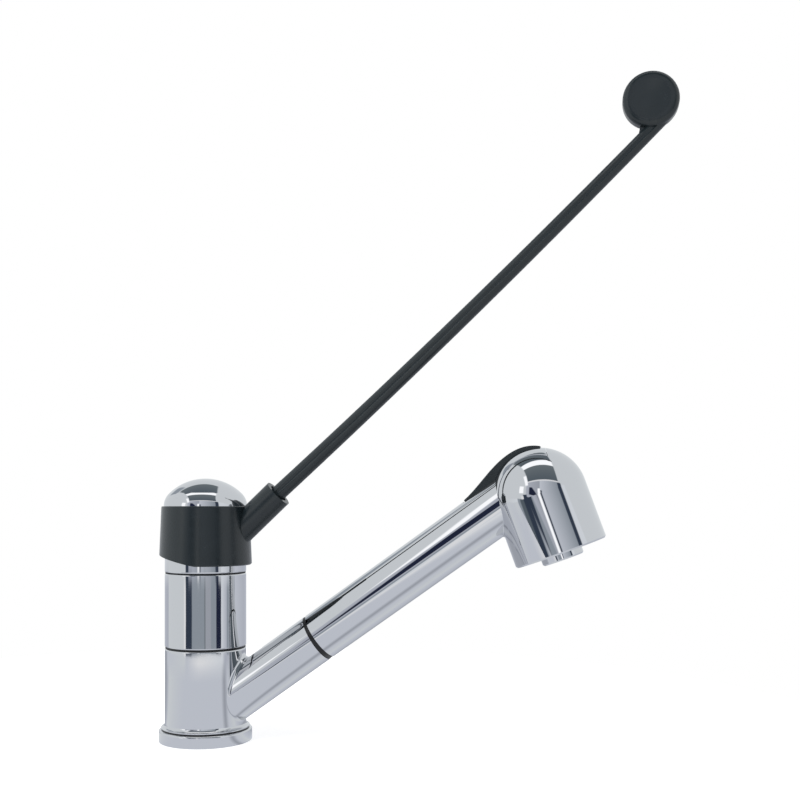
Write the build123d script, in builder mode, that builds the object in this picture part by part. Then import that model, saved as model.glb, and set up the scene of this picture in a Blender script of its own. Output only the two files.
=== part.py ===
# Single-lever kitchen mixer tap with a pull-out spray handset and a long
# elbow lever. The tap stands on a deck with its base at Z = 0, its spout and
# lever point along +X, and its whole form is symmetric about the XZ plane.
# All sizes are in millimetres.
from build123d import *
import math
import os

os.makedirs("parts", exist_ok=True)

# Base: a round ring on the deck, round a brass plate that carries the inlets
base_ring_radius = 27.5
base_ring_height = 7.1
base_ring_edge = 1.2
inlet_base_radius = 20.8
gasket_inner_radius = 22.0
gasket_outer_radius = 25.0
gasket_thickness = 2.0
hole_circle_radius = 15.9
inlet_bore_radius = 3.5
stud_bore_radius = 2.5
hole_step_angle = 38.0
seat_clearance = 0.05

# Column: the fixed brass body inside the swivelling spout sleeve
column_radius = 21.9
channel_radius = 3.0
hose_passage_radius = 11.0
hose_passage_top = 56.0
hose_passage_flare = 1.6
hose_passage_flare_height = 2.7
window_bottom = 8.2
window_top = 52.0
shoulder_radius = 22.6
cartridge_cup_depth = 33.0
cartridge_seat_radius = 17.7
nut_bore_radius = 19.4
nut_bore_depth = 5.0
column_rise = 1.3

# Outer sleeves, in line with each other
sleeve_radius = 24.0
spout_sleeve_wall = 2.0
sleeve_foot_reach = 2.1
sleeve_foot_lip = 0.5
sleeve_edge = 0.9
upper_sleeve_wall = 1.3
glide_ring_thickness = 0.8
glide_ring_recess = 0.35
glide_clearance = 0.05
upper_glide_bottom = 55.2
seam_height = 99.7
seam_gap = 0.4
cover_ring_height = 11.9
cover_ring_wall = 1.5
cover_ring_opening = 16.0
cover_ring_edge = 1.0
cover_seal_depth = 0.3
stop_pin_radius = 1.0
stop_pin_reach = 0.8
stop_pin_length = 4.0
stop_pin_drop = 1.6
stop_pin_clearance = 0.1
stop_play_angle = 1.0
swivel_angle = 55.0

# Spout: its tube axis leaves the body axis at this height and rises outwards
spout_axis_height = 12.9
spout_rise_angle = 35.53
tube_radius = 14.4
tube_start = 13.0
spout_bore_radius = 12.2
spout_end = 85.3
spout_end_slant = 2.4
spout_fillet = 2.5
bush_wall = 1.1
bush_length = 27.0
bush_rim_recess = 0.3
bush_rim_depth = 4.0
bush_face = 87.1
bush_fit = 0.05

# Hose inside the column and spout, its nut and the handset's water pipe
hose_radius = 6.0
hose_bore_radius = 4.0
hose_offset = 4.0
hose_bend_radius = 30.0
hose_nut_radius = 9.4
hose_nut_start = 34.0
hose_nut_cone = 8.0
hose_nut_lip = 1.0
hose_nut_length = 22.0
hose_seal_thickness = 2.0
pipe_radius = 7.5
pipe_bore_radius = 5.5
check_valve_length = 10.0
check_valve_hole_radius = 1.0
spigot_length = 30.0
spigot_overlap = 18.0

# Handset: the tube, the head and the strap that joins them over the back
handset_start = 87.2
handset_wall = 1.6
handset_draft = 0.4
head_center_x = 198.7
head_center_z = 145.8
head_tilt = 20.1
head_radius = 26.6
head_wall = 2.0
head_length = 34.7
head_rim_bevel = 0.9
strap_half_width = 14.6
strap_front = 12.0
strap_gap = 0.2
strap_wide_gap = 0.7
strap_wide_gap_height = 3.0
strap_fillet = 1.2

# Spray outlet, measured down the head from its dome centre
outlet_body_height = 4.5
nozzle_mat_thickness = 1.7
spray_face_thickness = 2.0
spray_face_recess = 0.6
face_clearance = 0.2
inner_nozzle_circle = 15.8
inner_nozzle_count = 16
outer_nozzle_circle = 20.4
outer_nozzle_count = 20
nozzle_radius = 0.65
nozzle_hole_radius = 0.9
nozzle_bore_radius = 0.3
nozzle_reach = 0.5
aerator_radius = 12.0
aerator_wall = 1.8
aerator_reach = 4.0
aerator_bevel = 0.8
aerator_clearance = 0.1
aerator_insert_recess = 0.8
aerator_groove_count = 4
aerator_groove_depth = 1.0

# Diverter inside the head and its rocker on top
diverter_radius = 17.0
diverter_top = 12.5
pipe_gap_to_center = 12.5
water_bore_gap_to_center = 2.0
rocker_pivot_depth = 5.1
rocker_pivot_angle = 38.0
rocker_pin_radius = 1.2
rocker_half_width = 4.8
rocker_slot_gap = 0.3
rocker_depth = 1.5
rocker_rear_reach = 36.4
rocker_rear_lift = 0.2
rocker_middle_reach = 22.4
rocker_middle_lift = 3.1
rocker_crest_angle = 28.0
rocker_crest_lift = 2.7
rocker_dome_lift = 1.9
rocker_front_lift = 0.7
rocker_front_angle = 21.0
rocker_dome_angle = 4.0
rocker_heel_angle = 34.0
rocker_heel_reach = 3.0
rocker_edge = 0.8
rocker_corner_reach = 13.5
rocker_end_room = 1.0
rocker_end_angle = 1.0
rocker_lug_half_width = 3.4
rocker_lug_play = 0.1
rocker_lug_forward = 0.6
rocker_ear_width = 1.5
rocker_ear_root = 2.0
rocker_ear_radius = 2.6
stem_radius = 1.8
stem_back_offset = 3.3
stem_play = 0.15
stem_foot_room = 1.0
stem_foot_radius = 4.5
stem_foot_height = 2.5
chamber_radius = 7.0
chamber_roof = 3.5
running_fit = 0.05
pin_seat = 0.02

# Cartridge: ceramic discs worked by a spindle that tilts in a turret
cartridge_radius = 17.5
cartridge_base_height = 3.0
cartridge_height = 29.0
disc_radius = 14.4
fixed_disc_thickness = 3.5
moving_disc_radius = 12.3
moving_disc_thickness = 3.5
moving_disc_start = -1.9
disc_pocket_length = 12.3
disc_pocket_width = 6.2
disc_pocket_depth = 1.8
port_radius = 2.6
port_circle_radius = 9.6
port_offset = 2.7
seal_section = 1.2
seal_radius = 4.0
carrier_plate = 3.0
carrier_height = 11.0
carrier_half_length = 6.0
carrier_half_width = 6.0
carrier_end_room = 1.0
carrier_roof_room = 1.0
housing_wall = 1.7
housing_lid = 3.0
turret_play = 1.0
turret_clearance = 0.3
turret_foot_gap = 0.2
turret_neck_radius = 12.0
turret_ear_height = 6.0
turret_slot_room = 2.5
turret_slot_play = 0.1
pivot_rise = 7.0
spindle_ball_radius = 3.5
spindle_ball_sink = 3.0
spindle_ball_clearance = 0.1
spindle_ball_floor = 0.5
spindle_neck_radius = 2.6
spindle_square = 8.0
spindle_flat = 6.0
spindle_shoulder = 9.0
spindle_shoulder_drop = 7.0
spindle_square_rise = 8.0
spindle_square_length = 17.0
spindle_pin_radius = 1.5
spindle_pin_inset = 0.5
lift_angle = 12.5
nut_height = 6.0
nut_hexagon_rise = 0.5
nut_hexagon_wall = 1.6
nut_collar_radius = 12.8

# Handle: a moulded collar with a socket for the lever, and its chrome cap
collar_bottom_radius = 27.4
collar_top_radius = 26.0
collar_rise = 0.5
collar_height = 34.9
collar_edge = 0.7
collar_foot_edge = 0.8
collar_cavity_radius = 25.5
collar_cavity_depth = 13.5
collar_heel_angle = 12.5
collar_heel_start = 3.0
hub_height = 16.0
square_clearance = 0.05
handle_screw_radius = 2.5
handle_screw_head_radius = 4.4
handle_screw_head_height = 3.0
handle_screw_length = 13.0
handle_screw_rise = 2.5
handle_screw_key_radius = 1.3
screw_head_clearance = 0.2
cap_base_radius = 24.6
cap_height = 16.6
cap_corner_radius = 11.0
cap_wall = 1.5
socket_axis_rise = 0.2
socket_rise_angle = 43.1
socket_radius = 8.6
socket_end = 62.0
socket_bore_start = 33.0
socket_mouth = 1.2
grub_screw_radius = 2.0
grub_screw_distance = 55.0
grub_screw_sink = 0.6
grub_screw_key_radius = 1.0

# Lever: a slightly bowed, tapered, fluted rod with a flat round finger disc
rod_start_radius = 4.7
rod_end_radius = 3.7
rod_length = 304.8
rod_sag = 2.1
rod_foot_gap = 0.2
rod_section_count = 5
rod_flute_radius = 2.2
rod_flute_depth = 0.7
disc_offset = 11.8
disc_grip_radius = 15.5
disc_half_thickness = 5.5
disc_rim_radius = 3.6
disc_dish_radius = 10.5
disc_dish_depth = 0.7
web_start = 21.0
web_end = 10.0
web_height = 8.5
web_half_thickness = 1.6

# Heights that follow from each other, from the fixed body up to the handle
column_top = seam_height + column_rise
cartridge_floor = column_top - cartridge_cup_depth
cover_ring_bottom = seam_height + seam_gap
cover_ring_top = cover_ring_bottom + cover_ring_height
stop_pin_height = upper_glide_bottom - stop_pin_drop
housing_top = cartridge_floor + cartridge_height
pivot_height = housing_top + pivot_rise
turret_flange_top = housing_top - housing_lid - turret_play
turret_top = pivot_height + turret_ear_height
spindle_square_bottom = pivot_height + spindle_square_rise
spindle_top = spindle_square_bottom + spindle_square_length
collar_bottom = pivot_height + collar_rise
collar_top = collar_bottom + collar_height
hub_bottom = collar_bottom + collar_cavity_depth
hub_top = hub_bottom + hub_height
socket_axis_height = collar_bottom + socket_axis_rise

# Levels of the outlet, measured down the head from its dome centre
spray_face_bottom = head_length - spray_face_recess
nozzle_mat_bottom = spray_face_bottom - spray_face_thickness
outlet_body_bottom = nozzle_mat_bottom - nozzle_mat_thickness
outlet_body_top = outlet_body_bottom - outlet_body_height
nozzle_circles = ((inner_nozzle_circle, inner_nozzle_count),
                  (outer_nozzle_circle, outer_nozzle_count))


def spout_plane(distance):
    """A plane square to the spout axis; its local Y points up across the tube."""
    rise = math.radians(spout_rise_angle)
    along = (math.cos(rise), 0, math.sin(rise))
    origin = (distance * along[0], 0, spout_axis_height + distance * along[2])
    return Plane(origin=origin, x_dir=(0, 1, 0), z_dir=along)


def spout_point(distance, across):
    """A point of the XZ plane, given along the spout axis and up across it."""
    rise = math.radians(spout_rise_angle)
    x = distance * math.cos(rise) - across * math.sin(rise)
    z = spout_axis_height + distance * math.sin(rise) + across * math.cos(rise)
    return (x, z)


def head_plane(drop):
    """A plane square to the head's axis, facing down, at a drop below its centre."""
    tilt = math.radians(head_tilt)
    down = (math.sin(tilt), 0, -math.cos(tilt))
    origin = (head_center_x + drop * down[0], 0, head_center_z + drop * down[2])
    return Plane(origin=origin, x_dir=(math.cos(tilt), 0, math.sin(tilt)), z_dir=down)


def head_point(forward, up):
    """A point of the XZ plane, given forward of the head's centre and up its axis."""
    tilt = math.radians(head_tilt)
    x = head_center_x + forward * math.cos(tilt) - up * math.sin(tilt)
    z = head_center_z + forward * math.sin(tilt) + up * math.cos(tilt)
    return (x, z)


def head_polar(radius, angle):
    """A point of the XZ plane, given by its radius and its angle behind the head's axis."""
    turn = math.radians(angle)
    return head_point(-radius * math.sin(turn), radius * math.cos(turn))


def lever_plane(distance):
    """A plane square to the lever socket's axis; its local Y points up across it."""
    rise = math.radians(socket_rise_angle)
    along = (math.cos(rise), 0, math.sin(rise))
    origin = (distance * along[0], 0, socket_axis_height + distance * along[2])
    return Plane(origin=origin, x_dir=(0, 1, 0), z_dir=along)


head_section = Plane(
    origin=(head_center_x, 0, head_center_z),
    x_dir=(math.cos(math.radians(head_tilt)), 0, math.sin(math.radians(head_tilt))),
    z_dir=(0, -1, 0),
)
head_axis = Axis(head_section.origin, head_section.y_dir)
inlet_angles = [180 - hole_step_angle, 180, 180 + hole_step_angle]
stud_angles = [180 - 2 * hole_step_angle, 180 + 2 * hole_step_angle]
spout_sleeve_bottom = base_ring_height + glide_ring_thickness + glide_clearance
spout_sleeve_top = upper_glide_bottom - glide_clearance
glide_outer_radius = sleeve_radius - glide_ring_recess
sleeve_foot_radius = sleeve_radius + sleeve_foot_reach
sleeve_foot_lip_top = spout_sleeve_bottom + sleeve_foot_lip
sleeve_foot_top = sleeve_foot_lip_top + sleeve_foot_reach
spout_sleeve_bore = sleeve_radius - spout_sleeve_wall

# Base ring: turned and plated brass, with a groove for the deck gasket
with BuildPart() as base_ring:
    with BuildSketch():
        Circle(base_ring_radius)
        Circle(inlet_base_radius + seat_clearance, mode=Mode.SUBTRACT)
    extrude(amount=base_ring_height)
    rim = base_ring.faces().sort_by(Axis.Z)[-1].edges().sort_by(SortBy.RADIUS)[-1]
    fillet(rim, base_ring_edge)
    with BuildSketch():
        Circle(gasket_outer_radius + seat_clearance)
        Circle(gasket_inner_radius - seat_clearance, mode=Mode.SUBTRACT)
    extrude(amount=gasket_thickness, mode=Mode.SUBTRACT)

# Deck gasket: flat rubber ring in the groove
with BuildPart() as base_gasket:
    with BuildSketch():
        Circle(gasket_outer_radius)
        Circle(gasket_inner_radius, mode=Mode.SUBTRACT)
    extrude(amount=gasket_thickness)

# Inlet base: brass plate with the hot, cold and mixed ports and two stud holes
with BuildPart() as inlet_base:
    with BuildSketch():
        Circle(inlet_base_radius)
        Circle(hose_passage_radius, mode=Mode.SUBTRACT)
        with PolarLocations(hole_circle_radius, 3, inlet_angles[0], 3 * hole_step_angle):
            Circle(inlet_bore_radius, mode=Mode.SUBTRACT)
        with PolarLocations(hole_circle_radius, 2, stud_angles[0], 8 * hole_step_angle):
            Circle(stud_bore_radius, mode=Mode.SUBTRACT)
    extrude(amount=base_ring_height)

# Inner body: brass casting with a half-round column for the water channels, a
# wide front window that the hose swings in, and the cartridge cup on top
with BuildPart() as inner_body:
    with BuildSketch(Plane.XZ) as inner_body_profile:
        with BuildLine():
            Polyline(
                (0, hose_passage_top),
                (hose_passage_radius, hose_passage_top),
                (hose_passage_radius, base_ring_height),
                (column_radius, base_ring_height),
                (column_radius, upper_glide_bottom),
                (shoulder_radius, upper_glide_bottom),
                (shoulder_radius, column_top),
                (nut_bore_radius, column_top),
                (nut_bore_radius, column_top - nut_bore_depth),
                (cartridge_seat_radius, column_top - nut_bore_depth),
                (cartridge_seat_radius, cartridge_floor),
                (0, cartridge_floor),
                close=True,
            )
        make_face()
    revolve(axis=Axis.Z)
    with BuildSketch(Plane.XY.offset(window_bottom)):
        with Locations((column_radius, 0)):
            Rectangle(2 * column_radius, 3 * column_radius)
    extrude(amount=window_top - window_bottom, mode=Mode.SUBTRACT)
    with BuildSketch(Plane.XY.offset(base_ring_height)):
        with PolarLocations(hole_circle_radius, 3, inlet_angles[0], 3 * hole_step_angle):
            Circle(channel_radius)
    extrude(amount=cartridge_floor - base_ring_height, mode=Mode.SUBTRACT)
    with BuildSketch(Plane.XY.offset(window_bottom - hose_passage_flare_height)):
        Circle(hose_passage_radius)
    with BuildSketch(Plane.XY.offset(window_bottom)):
        Circle(hose_passage_radius + hose_passage_flare)
    loft(mode=Mode.SUBTRACT)
    with BuildSketch(Plane.YZ.offset(-column_radius)):
        with Locations((0, stop_pin_height)):
            Circle(stop_pin_radius)
    extrude(amount=stop_pin_length - stop_pin_reach, mode=Mode.SUBTRACT)

# Glide rings: black acetal washers under and over the spout sleeve
with BuildPart() as lower_glide_ring:
    with BuildSketch(Plane.XY.offset(base_ring_height)):
        Circle(sleeve_foot_radius - glide_ring_recess)
        Circle(column_radius + seat_clearance, mode=Mode.SUBTRACT)
    extrude(amount=glide_ring_thickness)

with BuildPart() as upper_glide_ring:
    with BuildSketch(Plane.XY.offset(upper_glide_bottom)):
        Circle(glide_outer_radius)
        Circle(shoulder_radius + seat_clearance, mode=Mode.SUBTRACT)
    extrude(amount=glide_ring_thickness)

# Upper sleeve: plated tube that dresses the fixed half of the body
with BuildPart() as upper_sleeve:
    with BuildSketch(Plane.XY.offset(upper_glide_bottom + glide_ring_thickness)):
        Circle(sleeve_radius)
        Circle(sleeve_radius - upper_sleeve_wall, mode=Mode.SUBTRACT)
    extrude(amount=seam_height - upper_glide_bottom - glide_ring_thickness)
    rims = upper_sleeve.edges().filter_by(GeomType.CIRCLE).group_by(SortBy.RADIUS)[-1]
    fillet(rims, sleeve_edge)

# Cover ring: plated cap under the handle, open for the turret and spindle
with BuildPart() as cover_ring:
    with BuildSketch(Plane.XZ):
        with BuildLine():
            Polyline(
                (sleeve_radius, cover_ring_bottom),
                (sleeve_radius, cover_ring_top),
                (cover_ring_opening, cover_ring_top),
                (cover_ring_opening, cover_ring_top - cover_ring_wall),
                (shoulder_radius + seat_clearance, cover_ring_top - cover_ring_wall),
                (shoulder_radius + seat_clearance, cover_ring_bottom),
                close=True,
            )
        make_face()
    revolve(axis=Axis.Z)
    rims = cover_ring.edges().filter_by(GeomType.CIRCLE).group_by(SortBy.RADIUS)[-1]
    fillet(rims, cover_ring_edge)

# Cover seal: black ring in the joint between the upper sleeve and the cover ring
with BuildPart() as cover_seal:
    with BuildSketch(Plane.XY.offset(seam_height)):
        Circle(sleeve_radius - cover_seal_depth)
        Circle(shoulder_radius + seat_clearance, mode=Mode.SUBTRACT)
    extrude(amount=seam_gap)

# Swivel stop: a steel pin in the back of the column, in the sleeve's groove
with BuildPart() as swivel_stop_pin:
    with BuildSketch(Plane.YZ.offset(-column_radius - stop_pin_reach)):
        with Locations((0, stop_pin_height)):
            Circle(stop_pin_radius)
    extrude(amount=stop_pin_length)

# Spout body: swivelling sleeve and spout tube in one plated casting
slant_end = spout_end - 2 * tube_radius * math.tan(math.radians(spout_end_slant))
stop_groove_width = 2 * (stop_pin_radius + stop_pin_clearance)
stop_angle = swivel_angle + stop_play_angle
with BuildPart() as spout_body:
    with BuildSketch(Plane.XY.offset(spout_sleeve_bottom)):
        Circle(sleeve_radius)
    extrude(amount=spout_sleeve_top - spout_sleeve_bottom)
    fillet(spout_body.faces().sort_by(Axis.Z)[-1].edges(), sleeve_edge)
    with BuildSketch(Plane.XZ):
        with BuildLine():
            Polyline(
                (sleeve_radius, sleeve_foot_top),
                (spout_sleeve_bore, sleeve_foot_top),
                (spout_sleeve_bore, spout_sleeve_bottom),
                (sleeve_foot_radius, spout_sleeve_bottom),
                (sleeve_foot_radius, sleeve_foot_lip_top),
            )
            RadiusArc((sleeve_foot_radius, sleeve_foot_lip_top), (sleeve_radius, sleeve_foot_top),
                      sleeve_foot_reach)
        make_face()
    revolve(axis=Axis.Z)
    with BuildSketch(spout_plane(tube_start)):
        Circle(tube_radius)
    extrude(amount=spout_end - tube_start)
    junction = spout_body.edges().filter_by(GeomType.BSPLINE)
    fillet(junction, spout_fillet)
    with BuildSketch(Plane.XY.offset(spout_sleeve_bottom)):
        Circle(spout_sleeve_bore)
    extrude(amount=spout_sleeve_top - spout_sleeve_bottom, mode=Mode.SUBTRACT)
    with BuildSketch(spout_plane(tube_start)):
        Circle(spout_bore_radius)
    extrude(amount=spout_end - tube_start, mode=Mode.SUBTRACT)
    with BuildSketch(Plane.XY.offset(stop_pin_height - stop_groove_width / 2)):
        SlotArc(CenterArc((0, 0), column_radius, 180 - stop_angle, 2 * stop_angle),
                stop_groove_width)
    extrude(amount=spout_sleeve_top - stop_pin_height + stop_groove_width / 2,
            mode=Mode.SUBTRACT)
    with BuildSketch(Plane.XZ):
        with BuildLine():
            Polyline(
                spout_point(spout_end, tube_radius),
                spout_point(slant_end, -tube_radius),
                spout_point(bush_face, -tube_radius),
                close=True,
            )
        make_face()
    extrude(amount=2 * tube_radius, both=True, mode=Mode.SUBTRACT)

# Spout bush: black rim and liner that the handset's spigot slides into
bush_liner_radius = spout_bore_radius - bush_fit
bush_bore_radius = bush_liner_radius - bush_wall
with BuildPart() as spout_bush:
    with BuildSketch(spout_plane(bush_face)):
        Circle(tube_radius - bush_rim_recess)
    extrude(amount=-(bush_face - spout_end) - bush_rim_depth)
    with BuildSketch(Plane.XZ):
        with BuildLine():
            Polyline(
                spout_point(spout_end, tube_radius),
                spout_point(slant_end, -tube_radius),
                spout_point(spout_end - bush_length, -tube_radius),
                spout_point(spout_end - bush_length, tube_radius),
                close=True,
            )
        make_face()
    extrude(amount=2 * tube_radius, both=True, mode=Mode.SUBTRACT)
    with BuildSketch(spout_plane(bush_face)):
        Circle(bush_liner_radius)
    extrude(amount=-bush_length)
    with BuildSketch(spout_plane(bush_face)):
        Circle(bush_bore_radius)
    extrude(amount=-bush_length, mode=Mode.SUBTRACT)

# Pull-out hose: rises through the base, bends into the spout and ends in its nut
hose_end = hose_nut_start + hose_nut_cone
hose_corner_z = spout_axis_height + hose_offset * math.tan(math.radians(spout_rise_angle))
with BuildPart() as pull_out_hose:
    with BuildLine() as hose_path:
        FilletPolyline(
            (hose_offset, 0, 0),
            (hose_offset, 0, hose_corner_z),
            spout_plane(hose_end).origin,
            radius=hose_bend_radius,
        )
    with BuildSketch(Plane.XY):
        with Locations((hose_offset, 0)):
            Circle(hose_radius)
            Circle(hose_bore_radius, mode=Mode.SUBTRACT)
    sweep()

# Hose nut: cone and sleeve that hold the hose on the handset's pipe
with BuildPart() as hose_nut:
    with BuildSketch(spout_plane(hose_nut_start)):
        Circle(hose_radius + hose_nut_lip)
    with BuildSketch(spout_plane(hose_end)):
        Circle(hose_nut_radius)
    loft()
    with BuildSketch(spout_plane(hose_end)):
        Circle(hose_nut_radius)
    extrude(amount=hose_nut_length - hose_nut_cone)
    with BuildSketch(spout_plane(hose_nut_start)):
        Circle(hose_radius + seat_clearance)
    extrude(amount=hose_nut_cone, mode=Mode.SUBTRACT)
    with BuildSketch(spout_plane(hose_end)):
        Circle(pipe_radius + seat_clearance)
    extrude(amount=hose_nut_length, mode=Mode.SUBTRACT)

# Hose seal: rubber washer between the hose end and the pipe end
with BuildPart() as hose_seal:
    with BuildSketch(spout_plane(hose_end)):
        Circle(pipe_radius)
        Circle(hose_bore_radius, mode=Mode.SUBTRACT)
    extrude(amount=hose_seal_thickness)

# Waterway pipe: carries the water from the hose to the diverter in the head
pipe_start = hose_end + hose_seal_thickness
head_distance = head_center_x * math.cos(math.radians(spout_rise_angle))
head_distance += (head_center_z - spout_axis_height) * math.sin(math.radians(spout_rise_angle))
pipe_end = head_distance - pipe_gap_to_center
with BuildPart() as waterway_pipe:
    with BuildSketch(spout_plane(pipe_start)):
        Circle(pipe_radius)
        Circle(pipe_bore_radius, mode=Mode.SUBTRACT)
    extrude(amount=pipe_end - pipe_start)

# Check valve: small cartridge in the mouth of the pipe
with BuildPart() as check_valve:
    with BuildSketch(spout_plane(pipe_start)):
        Circle(pipe_bore_radius - seat_clearance)
        with PolarLocations(pipe_bore_radius / 2, 4):
            Circle(check_valve_hole_radius, mode=Mode.SUBTRACT)
    extrude(amount=check_valve_length)

# Spigot: moulded plug in the handset's end that slides in the spout bush
handset_bore_radius = tube_radius - handset_wall
handset_end_radius = tube_radius + handset_draft
with BuildPart() as handset_spigot:
    with BuildSketch(spout_plane(handset_start - spigot_length)):
        Circle(bush_bore_radius - bush_fit)
    extrude(amount=spigot_length)
    with BuildSketch(spout_plane(handset_start)):
        Circle(handset_bore_radius - seat_clearance)
    extrude(amount=spigot_overlap)
    with BuildSketch(spout_plane(handset_start - spigot_length)):
        Circle(pipe_radius + seat_clearance)
    extrude(amount=spigot_length + spigot_overlap, mode=Mode.SUBTRACT)

# Rocker slot and rocker outline share these distances along the spout axis
rocker_rear_distance = head_distance - rocker_rear_reach
rocker_middle_distance = head_distance - rocker_middle_reach
tube_corner = head_distance - rocker_corner_reach
slot_rear = rocker_rear_distance - rocker_end_room
slot_front_angle = rocker_front_angle + rocker_end_angle

# Head form: a round-nosed body of revolution, as a solid face and as its hollow
with BuildSketch(head_section) as head_form:
    with BuildLine():
        RadiusArc((0, head_radius), (head_radius, 0), head_radius)
        Polyline(
            (head_radius, 0),
            (head_radius, head_rim_bevel - head_length),
            (head_radius - head_rim_bevel, -head_length),
            (0, -head_length),
            (0, head_radius),
        )
    make_face()

head_bore_radius = head_radius - head_wall
with BuildSketch(head_section) as head_hollow:
    with BuildLine():
        RadiusArc((0, head_bore_radius), (head_bore_radius, 0), head_bore_radius)
        Polyline(
            (head_bore_radius, 0),
            (head_bore_radius, -2 * head_length),
            (0, -2 * head_length),
            (0, head_bore_radius),
        )
    make_face()

# Handset shell: plated tube whose strap runs over the back and top of the head
with BuildPart() as handset_shell:
    revolve(head_form.sketch, axis=head_axis)
    with BuildSketch(spout_plane(handset_start)):
        Circle(tube_radius)
    with BuildSketch(spout_plane(head_distance)):
        Circle(handset_end_radius)
    loft()
    junction = handset_shell.edges().filter_by(GeomType.BSPLINE)
    fillet(junction, strap_fillet)
    with BuildSketch(head_section):
        with Locations((strap_front + head_radius, 0)):
            Rectangle(2 * head_radius, 4 * head_length)
    extrude(amount=2 * head_radius, both=True, mode=Mode.SUBTRACT)
    with BuildSketch(Plane.XZ):
        with Locations((head_center_x, head_center_z)):
            Rectangle(4 * head_center_x, 4 * head_center_z)
    extrude(amount=strap_half_width, both=True, mode=Mode.INTERSECT)
    revolve(head_hollow.sketch, axis=head_axis, mode=Mode.SUBTRACT)
    with BuildSketch(spout_plane(handset_start)):
        Circle(handset_bore_radius)
    extrude(amount=head_distance - handset_start, mode=Mode.SUBTRACT)
    with BuildSketch(Plane.XZ):
        with BuildLine():
            Polyline(
                spout_point(slot_rear, pipe_radius),
                spout_point(slot_rear, 2 * tube_radius),
                head_polar(2 * head_radius, rocker_pivot_angle),
                head_polar(2 * head_radius, -slot_front_angle),
                head_polar(head_radius / 2, -slot_front_angle),
                spout_point(tube_corner, pipe_radius),
                close=True,
            )
        make_face()
    extrude(amount=rocker_half_width + rocker_slot_gap, both=True, mode=Mode.SUBTRACT)

# Head shell: plated front of the head, open at the back for the strap
with BuildPart() as head_shell:
    revolve(head_form.sketch, axis=head_axis)
    revolve(head_hollow.sketch, axis=head_axis, mode=Mode.SUBTRACT)
    with BuildSketch(head_section):
        with Locations((strap_front + strap_gap - 2 * head_radius, 0)):
            Rectangle(4 * head_radius, 4 * head_length)
    extrude(amount=strap_half_width + strap_gap, both=True, mode=Mode.SUBTRACT)
    with BuildSketch(head_section):
        with Locations((strap_front + strap_gap - 2 * head_radius,
                        strap_wide_gap_height + head_radius)):
            Rectangle(4 * head_radius, 2 * head_radius)
    extrude(amount=strap_half_width + strap_wide_gap, both=True, mode=Mode.SUBTRACT)

# Outlet body: moulded plate that splits the flow between jet and spray
with BuildPart() as outlet_body:
    with BuildSketch(head_plane(outlet_body_top)):
        Circle(head_bore_radius - face_clearance)
        Circle(aerator_radius + seat_clearance, mode=Mode.SUBTRACT)
    extrude(amount=outlet_body_bottom - outlet_body_top)

# Nozzle mat: rubber plate with a small nozzle for each hole of the spray face
with BuildPart() as nozzle_mat:
    with BuildSketch(head_plane(outlet_body_bottom)):
        Circle(head_bore_radius - face_clearance)
        Circle(aerator_radius + aerator_clearance, mode=Mode.SUBTRACT)
    extrude(amount=nozzle_mat_bottom - outlet_body_bottom)
    with BuildSketch(head_plane(nozzle_mat_bottom)):
        for circle_radius, count in nozzle_circles:
            with PolarLocations(circle_radius, count):
                Circle(nozzle_radius)
                Circle(nozzle_bore_radius, mode=Mode.SUBTRACT)
    extrude(amount=spray_face_bottom - nozzle_mat_bottom + nozzle_reach)

# Spray face: plate that closes the bottom of the head round the aerator
with BuildPart() as spray_face:
    with BuildSketch(head_plane(nozzle_mat_bottom)):
        Circle(head_bore_radius - face_clearance)
        Circle(aerator_radius + aerator_clearance, mode=Mode.SUBTRACT)
        for circle_radius, count in nozzle_circles:
            with PolarLocations(circle_radius, count):
                Circle(nozzle_hole_radius, mode=Mode.SUBTRACT)
    extrude(amount=spray_face_bottom - nozzle_mat_bottom)

# Aerator: plated ring screwed into the outlet body, and its moulded insert
aerator_bottom = head_length + aerator_reach
aerator_bore_radius = aerator_radius - aerator_wall
with BuildPart() as aerator_ring:
    with BuildSketch(head_plane(outlet_body_top)):
        Circle(aerator_radius)
        Circle(aerator_bore_radius, mode=Mode.SUBTRACT)
    extrude(amount=aerator_bottom - outlet_body_top)
    lip = aerator_ring.faces().sort_by(Axis.Z)[0].edges().sort_by(SortBy.RADIUS)[-1]
    chamfer(lip, aerator_bevel)

with BuildPart() as aerator_insert:
    with BuildSketch(head_plane(outlet_body_top)):
        Circle(aerator_bore_radius - seat_clearance)
    extrude(amount=aerator_bottom - aerator_insert_recess - outlet_body_top)
    with BuildSketch(head_plane(aerator_bottom - aerator_insert_recess)):
        for groove in range(1, aerator_groove_count + 1):
            groove_radius = groove * aerator_bore_radius / (aerator_groove_count + 1)
            Circle(groove_radius)
            Circle(groove_radius - aerator_groove_depth, mode=Mode.SUBTRACT)
    extrude(amount=-aerator_groove_depth, mode=Mode.SUBTRACT)

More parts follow.
